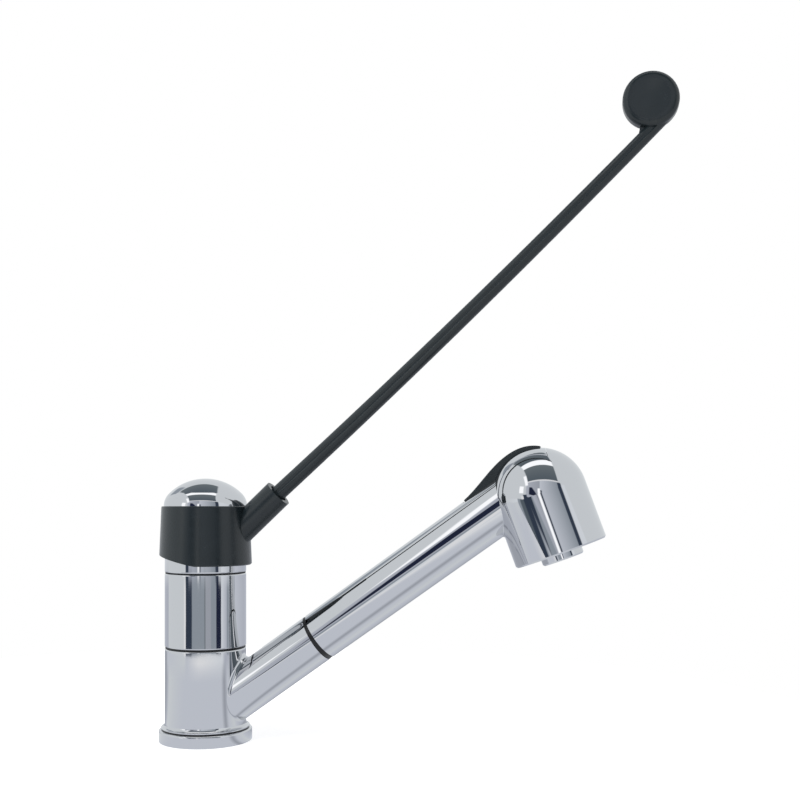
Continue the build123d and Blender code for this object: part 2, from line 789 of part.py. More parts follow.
# Diverter body: moulded block that takes the pipe and carries the rocker's ears
rocker_pivot_radius = head_radius - rocker_pivot_depth
pivot_forward = -rocker_pivot_radius * math.sin(math.radians(rocker_pivot_angle))
pivot_up = rocker_pivot_radius * math.cos(math.radians(rocker_pivot_angle))
ear_inner = rocker_lug_half_width + rocker_lug_play
chamber_top = diverter_top - chamber_roof
stem_top = math.sqrt((head_radius - rocker_depth) ** 2 - (stem_back_offset + stem_radius) ** 2)
stem_top -= stem_play
stem_length = stem_top - chamber_top + stem_foot_room
with BuildPart() as diverter_body:
    with BuildSketch(head_plane(-diverter_top)):
        Circle(diverter_radius)
    extrude(amount=diverter_top + outlet_body_top)
    with BuildSketch(head_section):
        with Locations((pivot_forward, pivot_up)):
            Circle(rocker_ear_radius)
        with Locations((pivot_forward, (pivot_up + diverter_top - rocker_ear_root) / 2)):
            Rectangle(2 * rocker_ear_radius, pivot_up - diverter_top + rocker_ear_root)
    extrude(amount=ear_inner + rocker_ear_width, both=True)
    with BuildSketch(head_section):
        with Locations((pivot_forward, pivot_up)):
            Rectangle(4 * rocker_ear_radius, 2 * (pivot_up - diverter_top))
    extrude(amount=ear_inner, both=True, mode=Mode.SUBTRACT)
    with BuildSketch(head_section):
        with Locations((pivot_forward, pivot_up)):
            Circle(rocker_pin_radius + pin_seat)
    extrude(amount=2 * ear_inner, both=True, mode=Mode.SUBTRACT)
    with BuildSketch(spout_plane(head_distance - 2 * diverter_radius)):
        Circle(pipe_radius + seat_clearance)
    extrude(amount=2 * diverter_radius - pipe_gap_to_center, mode=Mode.SUBTRACT)
    with BuildSketch(spout_plane(pipe_end)):
        Circle(pipe_bore_radius)
    extrude(amount=pipe_gap_to_center - water_bore_gap_to_center, mode=Mode.SUBTRACT)
    with BuildSketch(head_plane(-chamber_top)):
        Circle(chamber_radius)
    extrude(amount=chamber_top + outlet_body_top, mode=Mode.SUBTRACT)
    with BuildSketch(head_plane(-diverter_top)):
        with Locations((-stem_back_offset, 0)):
            Circle(stem_radius + running_fit)
    extrude(amount=diverter_top, mode=Mode.SUBTRACT)

# Diverter stem: slides in the diverter body under the rocker
with BuildPart() as diverter_stem:
    with BuildSketch(head_plane(-stem_top)):
        with Locations((-stem_back_offset, 0)):
            Circle(stem_radius)
    extrude(amount=stem_length)
    with BuildSketch(head_plane(stem_length - stem_top)):
        with Locations((-stem_back_offset / 2, 0)):
            Circle(stem_foot_radius)
    extrude(amount=stem_foot_height)

# Rocker: black button that tips on a pin to change from jet to spray
rocker_inner_radius = head_radius - rocker_depth
with BuildPart() as diverter_rocker:
    with BuildSketch(Plane.XZ):
        with BuildLine():
            Spline(
                spout_point(rocker_rear_distance, handset_end_radius + rocker_rear_lift),
                spout_point(rocker_middle_distance, handset_end_radius + rocker_middle_lift),
                head_polar(head_radius + rocker_crest_lift, rocker_crest_angle),
                head_polar(head_radius + rocker_dome_lift, rocker_dome_angle),
                head_polar(head_radius + rocker_front_lift, -rocker_front_angle),
            )
            Line(
                head_polar(head_radius + rocker_front_lift, -rocker_front_angle),
                head_polar(rocker_inner_radius, -rocker_front_angle),
            )
            ThreePointArc(
                head_polar(rocker_inner_radius, -rocker_front_angle),
                head_polar(rocker_inner_radius, 0),
                head_polar(rocker_inner_radius, rocker_heel_angle),
            )
            Polyline(
                head_polar(rocker_inner_radius, rocker_heel_angle),
                spout_point(tube_corner - rocker_heel_reach, handset_end_radius - rocker_depth),
                spout_point(rocker_rear_distance, handset_end_radius - rocker_depth),
                spout_point(rocker_rear_distance, handset_end_radius + rocker_rear_lift),
            )
        make_face()
    extrude(amount=rocker_half_width, both=True)
    fillet(diverter_rocker.edges().filter_by(GeomType.BSPLINE), rocker_edge)
    with BuildSketch(head_section):
        with Locations((pivot_forward, pivot_up)):
            Circle(rocker_ear_radius)
        with Locations((pivot_forward + rocker_lug_forward, pivot_up + rocker_ear_radius)):
            Rectangle(2 * rocker_ear_radius, 2 * rocker_ear_radius)
        with Locations((pivot_forward, pivot_up)):
            Circle(rocker_pin_radius + running_fit, mode=Mode.SUBTRACT)
    extrude(amount=rocker_lug_half_width, both=True)

with BuildPart() as rocker_pin:
    with BuildSketch(head_section):
        with Locations((pivot_forward, pivot_up)):
            Circle(rocker_pin_radius)
    extrude(amount=ear_inner + rocker_ear_width, both=True)

# Cartridge base: moulded plate that seals on the floor of the cup
port_reach = hole_circle_radius - port_offset
cartridge_base_top = cartridge_floor + cartridge_base_height
with BuildPart() as cartridge_base:
    with BuildSketch(Plane.XY.offset(cartridge_floor)):
        Circle(cartridge_radius)
    extrude(amount=cartridge_base_height)
    with BuildSketch(Plane.XY.offset(cartridge_floor)):
        with PolarLocations(port_reach, 3, inlet_angles[0], 3 * hole_step_angle):
            Circle(seal_radius + seat_clearance)
    extrude(amount=seal_section, mode=Mode.SUBTRACT)
    with BuildSketch(Plane.XY.offset(cartridge_floor + seal_section)):
        with PolarLocations((port_reach + port_circle_radius) / 2, 3, inlet_angles[0],
                            3 * hole_step_angle):
            SlotCenterToCenter(port_reach - port_circle_radius, 2 * port_radius)
    extrude(amount=cartridge_base_height - seal_section, mode=Mode.SUBTRACT)

with BuildPart() as port_seals:
    with BuildSketch(Plane.XY.offset(cartridge_floor)):
        with PolarLocations(port_reach, 3, inlet_angles[0], 3 * hole_step_angle):
            Circle(seal_radius)
            Circle(port_radius, mode=Mode.SUBTRACT)
    extrude(amount=seal_section)

# Ceramic discs: the lower one is fixed, the upper one slides and turns on it
fixed_disc_top = cartridge_base_top + fixed_disc_thickness
moving_disc_top = fixed_disc_top + moving_disc_thickness
with BuildPart() as fixed_disc:
    with BuildSketch(Plane.XY.offset(cartridge_base_top)):
        Circle(disc_radius)
        with PolarLocations(port_circle_radius, 3, inlet_angles[0], 3 * hole_step_angle):
            Circle(port_radius, mode=Mode.SUBTRACT)
    extrude(amount=fixed_disc_thickness)

with BuildPart() as moving_disc:
    with BuildSketch(Plane.XY.offset(fixed_disc_top)):
        with Locations((moving_disc_start, 0)):
            Circle(moving_disc_radius)
    extrude(amount=moving_disc_thickness)
    with BuildSketch(Plane.XY.offset(fixed_disc_top)):
        with Locations((moving_disc_start, 0)):
            SlotOverall(disc_pocket_length, disc_pocket_width)
    extrude(amount=disc_pocket_depth, mode=Mode.SUBTRACT)

# Disc carrier: grips the moving disc and takes the ball end of the spindle
carrier_top = moving_disc_top + carrier_height
spindle_ball_height = carrier_top - spindle_ball_sink
with BuildPart() as disc_carrier:
    with BuildSketch(Plane.XY.offset(moving_disc_top)):
        with Locations((moving_disc_start, 0)):
            Circle(moving_disc_radius)
    extrude(amount=carrier_plate)
    with BuildSketch(Plane.XY.offset(moving_disc_top)):
        Rectangle(2 * carrier_half_length, 2 * carrier_half_width)
    extrude(amount=carrier_height)
    with BuildSketch(Plane.XY.offset(carrier_top)):
        Circle(spindle_ball_radius + spindle_ball_clearance)
    extrude(amount=-(spindle_ball_sink + spindle_ball_radius + spindle_ball_floor),
            mode=Mode.SUBTRACT)

# Turret: turns in the housing with the handle and guides the carrier
ball_travel = (pivot_height - spindle_ball_height) * math.radians(lift_angle)
turret_bottom = moving_disc_top + carrier_plate + turret_foot_gap
housing_bore_radius = cartridge_radius - housing_wall
channel_back = carrier_half_length + carrier_end_room
channel_front = carrier_half_length + ball_travel + carrier_end_room
slot_length = 2 * (spindle_square / 2 + turret_slot_room)
with BuildPart() as turret:
    with BuildSketch(Plane.XY.offset(turret_bottom)):
        Circle(housing_bore_radius - turret_clearance)
    extrude(amount=turret_flange_top - turret_bottom)
    with BuildSketch(Plane.XY.offset(turret_bottom)):
        Circle(turret_neck_radius)
    extrude(amount=turret_top - turret_bottom)
    with BuildSketch(Plane.XY.offset(turret_bottom)):
        with Locations(((channel_front - channel_back) / 2, 0)):
            Rectangle(channel_front + channel_back, 2 * (carrier_half_width + running_fit))
    extrude(amount=carrier_top + carrier_roof_room - turret_bottom, mode=Mode.SUBTRACT)
    with BuildSketch(Plane.XY.offset(turret_bottom)):
        Rectangle(slot_length, spindle_flat + 2 * turret_slot_play)
    extrude(amount=turret_top - turret_bottom, mode=Mode.SUBTRACT)
    with BuildSketch(Plane.XZ):
        with Locations((0, pivot_height)):
            Circle(spindle_pin_radius + pin_seat)
    extrude(amount=turret_neck_radius, both=True, mode=Mode.SUBTRACT)

# Spindle: steel lever of the cartridge, from its ball end to its square head
with BuildPart() as spindle:
    with BuildSketch(Plane.XZ) as spindle_tail:
        with BuildLine():
            RadiusArc((0, spindle_ball_height - spindle_ball_radius),
                      (0, spindle_ball_height + spindle_ball_radius), spindle_ball_radius)
            Line((0, spindle_ball_height + spindle_ball_radius),
                 (0, spindle_ball_height - spindle_ball_radius))
        make_face()
    revolve(axis=Axis.Z)
    with BuildSketch(Plane.XY.offset(spindle_ball_height)):
        Circle(spindle_neck_radius)
    extrude(amount=pivot_height - spindle_ball_height)
    with BuildSketch(Plane.XY.offset(pivot_height - spindle_shoulder_drop)):
        Rectangle(spindle_shoulder, spindle_flat)
    extrude(amount=spindle_square_rise + spindle_shoulder_drop)
    with BuildSketch(Plane.XY.offset(spindle_square_bottom)):
        Rectangle(spindle_square, spindle_square)
    extrude(amount=spindle_square_length)
    with BuildSketch(Plane.XZ):
        with Locations((0, pivot_height)):
            Circle(spindle_pin_radius + running_fit)
    extrude(amount=spindle_square, both=True, mode=Mode.SUBTRACT)
    with BuildSketch(Plane.XY.offset(spindle_top)):
        Circle(handle_screw_radius + pin_seat)
    extrude(amount=-handle_screw_length, mode=Mode.SUBTRACT)

with BuildPart() as spindle_pin:
    with BuildSketch(Plane.XZ):
        with Locations((0, pivot_height)):
            Circle(spindle_pin_radius)
    extrude(amount=turret_neck_radius - spindle_pin_inset, both=True)

# Cartridge housing and the brass nut that presses it into the cup
with BuildPart() as cartridge_housing:
    with BuildSketch(Plane.XY.offset(cartridge_base_top)):
        Circle(cartridge_radius)
    extrude(amount=housing_top - cartridge_base_top)
    with BuildSketch(Plane.XY.offset(cartridge_base_top)):
        Circle(housing_bore_radius)
    extrude(amount=housing_top - housing_lid - cartridge_base_top, mode=Mode.SUBTRACT)
    with BuildSketch(Plane.XY.offset(cartridge_base_top)):
        Circle(turret_neck_radius + running_fit)
    extrude(amount=housing_top - cartridge_base_top, mode=Mode.SUBTRACT)

with BuildPart() as cartridge_nut:
    with BuildSketch(Plane.XY.offset(housing_top)):
        Circle(nut_bore_radius - seat_clearance)
        Circle(nut_collar_radius, mode=Mode.SUBTRACT)
    extrude(amount=nut_height)
    with BuildSketch(Plane.XY.offset(column_top + nut_hexagon_rise)):
        Circle(nut_bore_radius)
        RegularPolygon(nut_bore_radius - nut_hexagon_wall, 6, major_radius=False,
                       mode=Mode.SUBTRACT)
    extrude(amount=nut_height, mode=Mode.SUBTRACT)

# Handle collar: black moulding with the hub, the skirt and the lever socket
heel_length = 2 * collar_bottom_radius
heel_rise = (heel_length + collar_heel_start) * math.tan(math.radians(collar_heel_angle))
screw_seat = spindle_top + handle_screw_rise
grub_origin = lever_plane(grub_screw_distance).origin
grub_plane = Plane(origin=grub_origin, x_dir=(0, 1, 0), z_dir=lever_plane(0).y_dir)
with BuildPart() as handle_collar:
    with BuildSketch(Plane.XZ):
        with BuildLine():
            Polyline(
                (0, collar_bottom),
                (collar_bottom_radius - collar_foot_edge, collar_bottom),
                (collar_bottom_radius, collar_bottom + collar_foot_edge),
                (collar_top_radius, collar_top),
                (0, collar_top),
                close=True,
            )
        make_face()
    revolve(axis=Axis.Z)
    rim = handle_collar.faces().sort_by(Axis.Z)[-1].edges()
    fillet(rim, collar_edge)
    with BuildSketch(lever_plane(collar_top_radius / 2)):
        Circle(socket_radius)
    extrude(amount=socket_end - collar_top_radius / 2)
    with BuildSketch(Plane.XY.offset(collar_bottom)):
        Circle(collar_cavity_radius)
    extrude(amount=hub_bottom - collar_bottom, mode=Mode.SUBTRACT)
    with BuildSketch(Plane.XY.offset(hub_top)):
        Circle(cap_base_radius + seat_clearance)
    extrude(amount=collar_top - hub_top, mode=Mode.SUBTRACT)
    with BuildSketch(Plane.XY.offset(hub_bottom)):
        Rectangle(spindle_square + 2 * square_clearance, spindle_square + 2 * square_clearance)
    extrude(amount=spindle_top + square_clearance - hub_bottom, mode=Mode.SUBTRACT)
    with BuildSketch(Plane.XY.offset(hub_bottom)):
        Circle(handle_screw_radius + screw_head_clearance / 2)
    extrude(amount=hub_top - hub_bottom, mode=Mode.SUBTRACT)
    with BuildSketch(Plane.XY.offset(screw_seat)):
        Circle(handle_screw_head_radius + screw_head_clearance)
    extrude(amount=hub_top - screw_seat, mode=Mode.SUBTRACT)
    with BuildSketch(lever_plane(socket_bore_start)):
        Circle(rod_start_radius + seat_clearance)
    extrude(amount=socket_end - socket_bore_start, mode=Mode.SUBTRACT)
    with BuildSketch(lever_plane(socket_end - socket_mouth)):
        Circle(rod_start_radius + socket_mouth)
    extrude(amount=socket_mouth, mode=Mode.SUBTRACT)
    with BuildSketch(grub_plane):
        Circle(grub_screw_radius + pin_seat)
    extrude(amount=2 * socket_radius, mode=Mode.SUBTRACT)
    with BuildSketch(Plane.XZ):
        with BuildLine():
            Polyline(
                (collar_heel_start, collar_bottom),
                (-heel_length, collar_bottom),
                (-heel_length, collar_bottom + heel_rise),
                close=True,
            )
        make_face()
    extrude(amount=heel_length, both=True, mode=Mode.SUBTRACT)

# Handle screw: holds the hub down on the spindle, under the cap
with BuildPart() as handle_screw:
    with BuildSketch(Plane.XY.offset(screw_seat)):
        Circle(handle_screw_head_radius)
        RegularPolygon(handle_screw_key_radius, 6, mode=Mode.SUBTRACT)
    extrude(amount=handle_screw_head_height)
    with BuildSketch(Plane.XY.offset(screw_seat)):
        Circle(handle_screw_radius)
    extrude(amount=-handle_screw_length)

# Dome cap: plated cap that snaps into the top of the collar
cap_apex = collar_top + cap_height
cap_bore_radius = cap_base_radius - cap_wall
cap_skirt_bottom = hub_top + seat_clearance
cap_corner_center = cap_base_radius - cap_corner_radius
cap_crown_radius = cap_corner_center ** 2 + cap_height ** 2 - cap_corner_radius ** 2
cap_crown_radius /= 2 * (cap_height - cap_corner_radius)
cap_blend_angle = math.atan2(cap_corner_center, cap_crown_radius - cap_height)


def cap_blend(inset):
    """The point where the crown's arc meets the corner's arc, inset from the outside."""
    radius = cap_crown_radius - inset
    height = cap_apex - cap_crown_radius + radius * math.cos(cap_blend_angle)
    return (radius * math.sin(cap_blend_angle), height)


with BuildPart() as dome_cap:
    with BuildSketch(Plane.XZ):
        with BuildLine():
            RadiusArc((0, cap_apex), cap_blend(0), cap_crown_radius)
            RadiusArc(cap_blend(0), (cap_base_radius, collar_top), cap_corner_radius)
            Polyline(
                (cap_base_radius, collar_top),
                (cap_base_radius, cap_skirt_bottom),
                (0, cap_skirt_bottom),
                (0, cap_apex),
            )
        make_face()
    revolve(axis=Axis.Z)
    with BuildSketch(Plane.XZ):
        with BuildLine():
            RadiusArc((0, cap_apex - cap_wall), cap_blend(cap_wall), cap_crown_radius - cap_wall)
            RadiusArc(cap_blend(cap_wall), (cap_bore_radius, collar_top),
                      cap_corner_radius - cap_wall)
            Polyline(
                (cap_bore_radius, collar_top),
                (cap_bore_radius, cap_skirt_bottom),
                (0, cap_skirt_bottom),
                (0, cap_apex - cap_wall),
            )
        make_face()
    revolve(axis=Axis.Z, mode=Mode.SUBTRACT)

# Lever rod: from the bottom of its socket, along a slight bow, to the disc
disc_distance = socket_end + rod_length
bow_middle = (socket_end + disc_distance) / 2
bow_half = (disc_distance - socket_end) / 2


def rod_plane(distance):
    """A plane square to the bowed rod at a distance along its chord."""
    place = (distance - bow_middle) / bow_half
    rise = math.radians(socket_rise_angle) + 2 * rod_sag * place / bow_half
    chord = lever_plane(distance)
    origin = chord.origin - chord.y_dir * rod_sag * (1 - place ** 2)
    return Plane(origin=origin, x_dir=(0, 1, 0), z_dir=(math.cos(rise), 0, math.sin(rise)))


disc_center = lever_plane(disc_distance).origin + lever_plane(disc_distance).y_dir * disc_offset
dish_ball_radius = (disc_dish_radius ** 2 + disc_dish_depth ** 2) / (2 * disc_dish_depth)
dish_center = Vector(0, disc_half_thickness - disc_dish_depth + dish_ball_radius, 0)
lever_section = Plane(origin=lever_plane(0).origin, x_dir=lever_plane(0).z_dir, z_dir=(0, -1, 0))
with BuildPart() as lever_rod:
    with BuildSketch(lever_plane(socket_bore_start + rod_foot_gap)):
        Circle(rod_start_radius)
    extrude(amount=socket_end - socket_bore_start - rod_foot_gap)
    for step in range(rod_section_count):
        share = step / (rod_section_count - 1)
        place = socket_end + share * (disc_distance - socket_end)
        radius = rod_start_radius + share * (rod_end_radius - rod_start_radius)
        with BuildSketch(rod_plane(place)):
            Circle(radius)
            flute_offset = radius - rod_flute_depth + rod_flute_radius
            with Locations((flute_offset, 0), (-flute_offset, 0)):
                Circle(rod_flute_radius, mode=Mode.SUBTRACT)
    loft()
    with BuildSketch(Plane(origin=disc_center, x_dir=(1, 0, 0), z_dir=(0, -1, 0))):
        Circle(disc_grip_radius)
    extrude(amount=disc_half_thickness, both=True)
    rims = lever_rod.edges().filter_by(GeomType.CIRCLE).group_by(SortBy.RADIUS)[-1]
    fillet(rims, disc_rim_radius)
    with Locations(disc_center + dish_center, disc_center - dish_center):
        Sphere(dish_ball_radius, mode=Mode.SUBTRACT)
    with BuildSketch(lever_section):
        with BuildLine():
            Polyline(
                (disc_distance - web_start, 0),
                (disc_distance - web_end, web_height),
                (disc_distance, 0),
                close=True,
            )
        make_face()
    extrude(amount=web_half_thickness, both=True)

# Socket screw: grub screw that clamps the rod from the upper side
with BuildPart() as socket_screw:
    with BuildSketch(grub_plane.offset(rod_start_radius)):
        Circle(grub_screw_radius)
        RegularPolygon(grub_screw_key_radius, 6, mode=Mode.SUBTRACT)
    extrude(amount=socket_radius - rod_start_radius - grub_screw_sink)

pieces = {
    "base_ring": base_ring,
    "base_gasket": base_gasket,
    "inlet_base": inlet_base,
    "inner_body": inner_body,
    "lower_glide_ring": lower_glide_ring,
    "upper_glide_ring": upper_glide_ring,
    "upper_sleeve": upper_sleeve,
    "cover_ring": cover_ring,
    "cover_seal": cover_seal,
    "swivel_stop_pin": swivel_stop_pin,
    "spout_body": spout_body,
    "spout_bush": spout_bush,
    "pull_out_hose": pull_out_hose,
    "hose_nut": hose_nut,
    "hose_seal": hose_seal,
    "waterway_pipe": waterway_pipe,
    "check_valve": check_valve,
    "handset_spigot": handset_spigot,
    "handset_shell": handset_shell,
    "head_shell": head_shell,
    "outlet_body": outlet_body,
    "nozzle_mat": nozzle_mat,
    "spray_face": spray_face,
    "aerator_ring": aerator_ring,
    "aerator_insert": aerator_insert,
    "diverter_body": diverter_body,
    "diverter_stem": diverter_stem,
    "diverter_rocker": diverter_rocker,
    "rocker_pin": rocker_pin,
    "cartridge_base": cartridge_base,
    "port_seals": port_seals,
    "fixed_disc": fixed_disc,
    "moving_disc": moving_disc,
    "disc_carrier": disc_carrier,
    "turret": turret,
    "spindle": spindle,
    "spindle_pin": spindle_pin,
    "cartridge_housing": cartridge_housing,
    "cartridge_nut": cartridge_nut,
    "handle_collar": handle_collar,
    "handle_screw": handle_screw,
    "dome_cap": dome_cap,
    "lever_rod": lever_rod,
    "socket_screw": socket_screw,
}
for name, piece in pieces.items():
    piece.part.label = name
    export_step(piece.part, f"parts/{name}.step")
print("hose bend radius", hose_bend_radius, "on a hose of diameter", 2 * hose_radius)
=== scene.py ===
import math

import bmesh
import bpy
from mathutils import Matrix, Vector


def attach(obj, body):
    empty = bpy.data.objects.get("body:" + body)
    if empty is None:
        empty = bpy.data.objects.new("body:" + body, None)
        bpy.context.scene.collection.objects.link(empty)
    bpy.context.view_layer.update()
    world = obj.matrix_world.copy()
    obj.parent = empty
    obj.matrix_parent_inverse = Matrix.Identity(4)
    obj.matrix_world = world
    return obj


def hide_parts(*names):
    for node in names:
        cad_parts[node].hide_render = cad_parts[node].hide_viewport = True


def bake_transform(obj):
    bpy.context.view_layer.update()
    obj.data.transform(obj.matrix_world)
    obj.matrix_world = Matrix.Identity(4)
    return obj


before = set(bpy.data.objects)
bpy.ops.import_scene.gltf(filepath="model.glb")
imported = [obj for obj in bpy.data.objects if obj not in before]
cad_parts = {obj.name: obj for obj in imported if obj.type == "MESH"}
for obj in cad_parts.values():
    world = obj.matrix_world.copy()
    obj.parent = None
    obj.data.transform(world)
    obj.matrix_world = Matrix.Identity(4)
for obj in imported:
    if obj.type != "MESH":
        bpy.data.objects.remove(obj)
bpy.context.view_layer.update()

# Base: a turned brass ring and the cast inlet base under it. The ring is
# polished and chromium plated, so it is a cool grey mirror that the polishing
# has left very slightly wavy. The sleeves and the spout tube have that finish too.
chrome_colour = "D5D6D9"
polish_wave = 0.022
polish_wave_depth = 0.0001
# The buffing mop's marks run round the column, eight times as long as wide. Real
# ones are 0.1 mm apart, drawn coarser so that they show.
buffing_mark = 0.0007
buffing_squeeze = 0.12
buffing_depth = 0.0000006
wipe_mark = 0.016
wiped_from = 0.35
wiped_to = 0.7
clean_roughness = 0.03
wiped_roughness = 0.05


def linear(hex_colour):
    """Turns an sRGB hex colour into linear red, green, blue and a full alpha."""
    values = [int(hex_colour[i:i + 2], 16) / 255 for i in (0, 2, 4)]
    return [v / 12.92 if v <= 0.04045 else ((v + 0.055) / 1.055) ** 2.4 for v in values] + [1]


def add_node(tree, kind, inputs=None, **settings):
    """Adds a shader node, sets it up, and links or sets its inputs by name or number.

    A Mix node's inputs go by number: 0 is the share of the second, 2 and 3 are its
    two values, 4 and 5 its two directions, and 6 and 7 its two colours.
    """
    node = tree.nodes.new(kind)
    for name, value in settings.items():
        setattr(node, name, value)
    for key, value in (inputs or {}).items():
        if isinstance(value, bpy.types.NodeSocket):
            tree.links.new(value, node.inputs[key])
        else:
            node.inputs[key].default_value = value
    return node


def start_material(name):
    """Makes an empty node material and returns it, its tree and its Object coordinates."""
    material = bpy.data.materials.new(name)
    material.use_nodes = True
    material.node_tree.nodes.clear()
    place = add_node(material.node_tree, "ShaderNodeTexCoord").outputs["Object"]
    return material, material.node_tree, place


def dress(material, *nodes):
    """Gives CAD nodes a material in every slot they have."""
    for node in nodes:
        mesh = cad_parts[node].data
        mesh.materials.clear()
        mesh.materials.append(material)


brass_chrome, tree, place = start_material("polished_chrome_plated_brass")
wave = add_node(tree, "ShaderNodeTexNoise", {"Vector": place, "Scale": 1 / polish_wave,
                                             "Detail": 1.0, "Roughness": 0.4})
waved = add_node(tree, "ShaderNodeBump", {"Height": wave.outputs["Fac"], "Strength": 1.0,
                                          "Distance": polish_wave_depth})
along_mark = add_node(tree, "ShaderNodeMapping", {
    "Vector": place, "Scale": (buffing_squeeze, buffing_squeeze, 1)})
marks = add_node(tree, "ShaderNodeTexNoise", {"Vector": along_mark.outputs[0],
                                              "Scale": 1 / buffing_mark, "Detail": 2.0})
buffed = add_node(tree, "ShaderNodeBump", {"Height": marks.outputs["Fac"], "Strength": 1.0,
                                           "Distance": buffing_depth,
                                           "Normal": waved.outputs["Normal"]})
wiped = add_node(tree, "ShaderNodeTexNoise", {"Vector": place, "Scale": 1 / wipe_mark,
                                              "Detail": 3.0})
haze = add_node(tree, "ShaderNodeMapRange", {
    "Value": wiped.outputs["Fac"], "From Min": wiped_from, "From Max": wiped_to,
    "To Min": clean_roughness, "To Max": wiped_roughness})
shader = add_node(tree, "ShaderNodeBsdfPrincipled", {
    "Base Color": linear(chrome_colour), "Metallic": 1.0, "Roughness": haze.outputs[0],
    "Normal": buffed.outputs["Normal"]})
add_node(tree, "ShaderNodeOutputMaterial", {"Surface": shader.outputs["BSDF"]})
dress(brass_chrome, "base_ring", "upper_sleeve", "cover_ring", "spout_body")

# Inlet base and inner body: sand-cast brass, machined where parts seat, with
# the turned brass nuts. Left unplated, it is a dull yellow metal with a fine
# sandy skin and darker clouds where it has begun to tarnish.
brass_colour = "C9A25B"
tarnish_colour = "A67F42"
tarnish_cloud = 0.007
sand_grain = 0.0005
sand_depth = 0.00003
bright_roughness = 0.26
tarnished_roughness = 0.46
cast_brass, tree, place = start_material("sand_cast_brass")
cloud = add_node(tree, "ShaderNodeTexNoise", {"Vector": place, "Scale": 1 / tarnish_cloud,
                                              "Detail": 4.0, "Roughness": 0.6})
tone = add_node(tree, "ShaderNodeMix", {0: cloud.outputs["Fac"], 6: linear(brass_colour),
                                        7: linear(tarnish_colour)}, data_type="RGBA")
dulled = add_node(tree, "ShaderNodeMapRange", {
    "Value": cloud.outputs["Fac"], "To Min": bright_roughness,
    "To Max": tarnished_roughness})
sand = add_node(tree, "ShaderNodeTexVoronoi", {"Vector": place, "Scale": 1 / sand_grain})
skin = add_node(tree, "ShaderNodeBump", {"Height": sand.outputs["Distance"], "Strength": 0.6,
                                         "Distance": sand_depth})
shader = add_node(tree, "ShaderNodeBsdfPrincipled", {
    "Base Color": tone.outputs[2], "Metallic": 1.0, "Roughness": dulled.outputs[0],
    "Normal": skin.outputs["Normal"]})
add_node(tree, "ShaderNodeOutputMaterial", {"Surface": shader.outputs["BSDF"]})
dress(cast_brass, "inlet_base", "inner_body", "cartridge_nut", "hose_nut")

# Gaskets and seals: moulded black nitrile rubber, pressed into their grooves.
# It is matt, with a fine grain and a faint grey bloom.
rubber_colour = "141516"
bloom_colour = "25272A"
bloom_cloud = 0.009
# The real grain is 0.05 mm, drawn coarser so that it shows.
rubber_grain = 0.0004
rubber_depth = 0.00002
seal_rubber, tree, place = start_material("moulded_nitrile_rubber")
cloud = add_node(tree, "ShaderNodeTexNoise", {"Vector": place, "Scale": 1 / bloom_cloud,
                                              "Detail": 3.0})
tone = add_node(tree, "ShaderNodeMix", {0: cloud.outputs["Fac"], 6: linear(rubber_colour),
                                        7: linear(bloom_colour)}, data_type="RGBA")
grain = add_node(tree, "ShaderNodeTexNoise", {"Vector": place, "Scale": 1 / rubber_grain,
                                              "Detail": 2.0})
matt = add_node(tree, "ShaderNodeBump", {"Height": grain.outputs["Fac"], "Strength": 0.5,
                                         "Distance": rubber_depth})
shader = add_node(tree, "ShaderNodeBsdfPrincipled", {
    "Base Color": tone.outputs[2], "Roughness": 0.62, "Normal": matt.outputs["Normal"]})
add_node(tree, "ShaderNodeOutputMaterial", {"Surface": shader.outputs["BSDF"]})
dress(seal_rubber, "base_gasket", "cover_seal", "hose_seal", "port_seals")

# Glide rings and bush: black acetal turned on a lathe, which the spout turns
# and the handset seats on. The cutting tool leaves fine rings and a silky gloss.
acetal_colour = "0D0E10"
# Real lines are 0.1 mm apart. They are drawn far broader, as slow bands of gloss.
tool_band = 0.00377
# At a scale of 1, a wave texture repeats after a tenth of pi.
wave_texture_pitch = math.pi / 10
tool_depth = 0.000004
trough_roughness = 0.34
crest_roughness = 0.44
black_acetal, tree, place = start_material("turned_black_acetal")
line = add_node(tree, "ShaderNodeTexWave", {
    "Vector": place, "Scale": wave_texture_pitch / tool_band, "Distortion": 0.4,
    "Detail": 1.0}, wave_type="BANDS", bands_direction="Z")
turned = add_node(tree, "ShaderNodeBump", {"Height": line.outputs["Fac"], "Strength": 0.6,
                                           "Distance": tool_depth})
silk = add_node(tree, "ShaderNodeMapRange", {
    "Value": line.outputs["Fac"], "To Min": trough_roughness, "To Max": crest_roughness})
shader = add_node(tree, "ShaderNodeBsdfPrincipled", {
    "Base Color": linear(acetal_colour), "Roughness": silk.outputs[0],
    "Normal": turned.outputs["Normal"]})
add_node(tree, "ShaderNodeOutputMaterial", {"Surface": shader.outputs["BSDF"]})
dress(black_acetal, "lower_glide_ring", "upper_glide_ring", "spout_bush")

# Cartridge: natural white glass-filled polymer, moulded. It is a warm off-white
# with faint clouds where the glass has flowed, and a satin skin.
polymer_colour = "DAD8CF"
polymer_flow_colour = "CCC9BE"
flow_cloud = 0.005
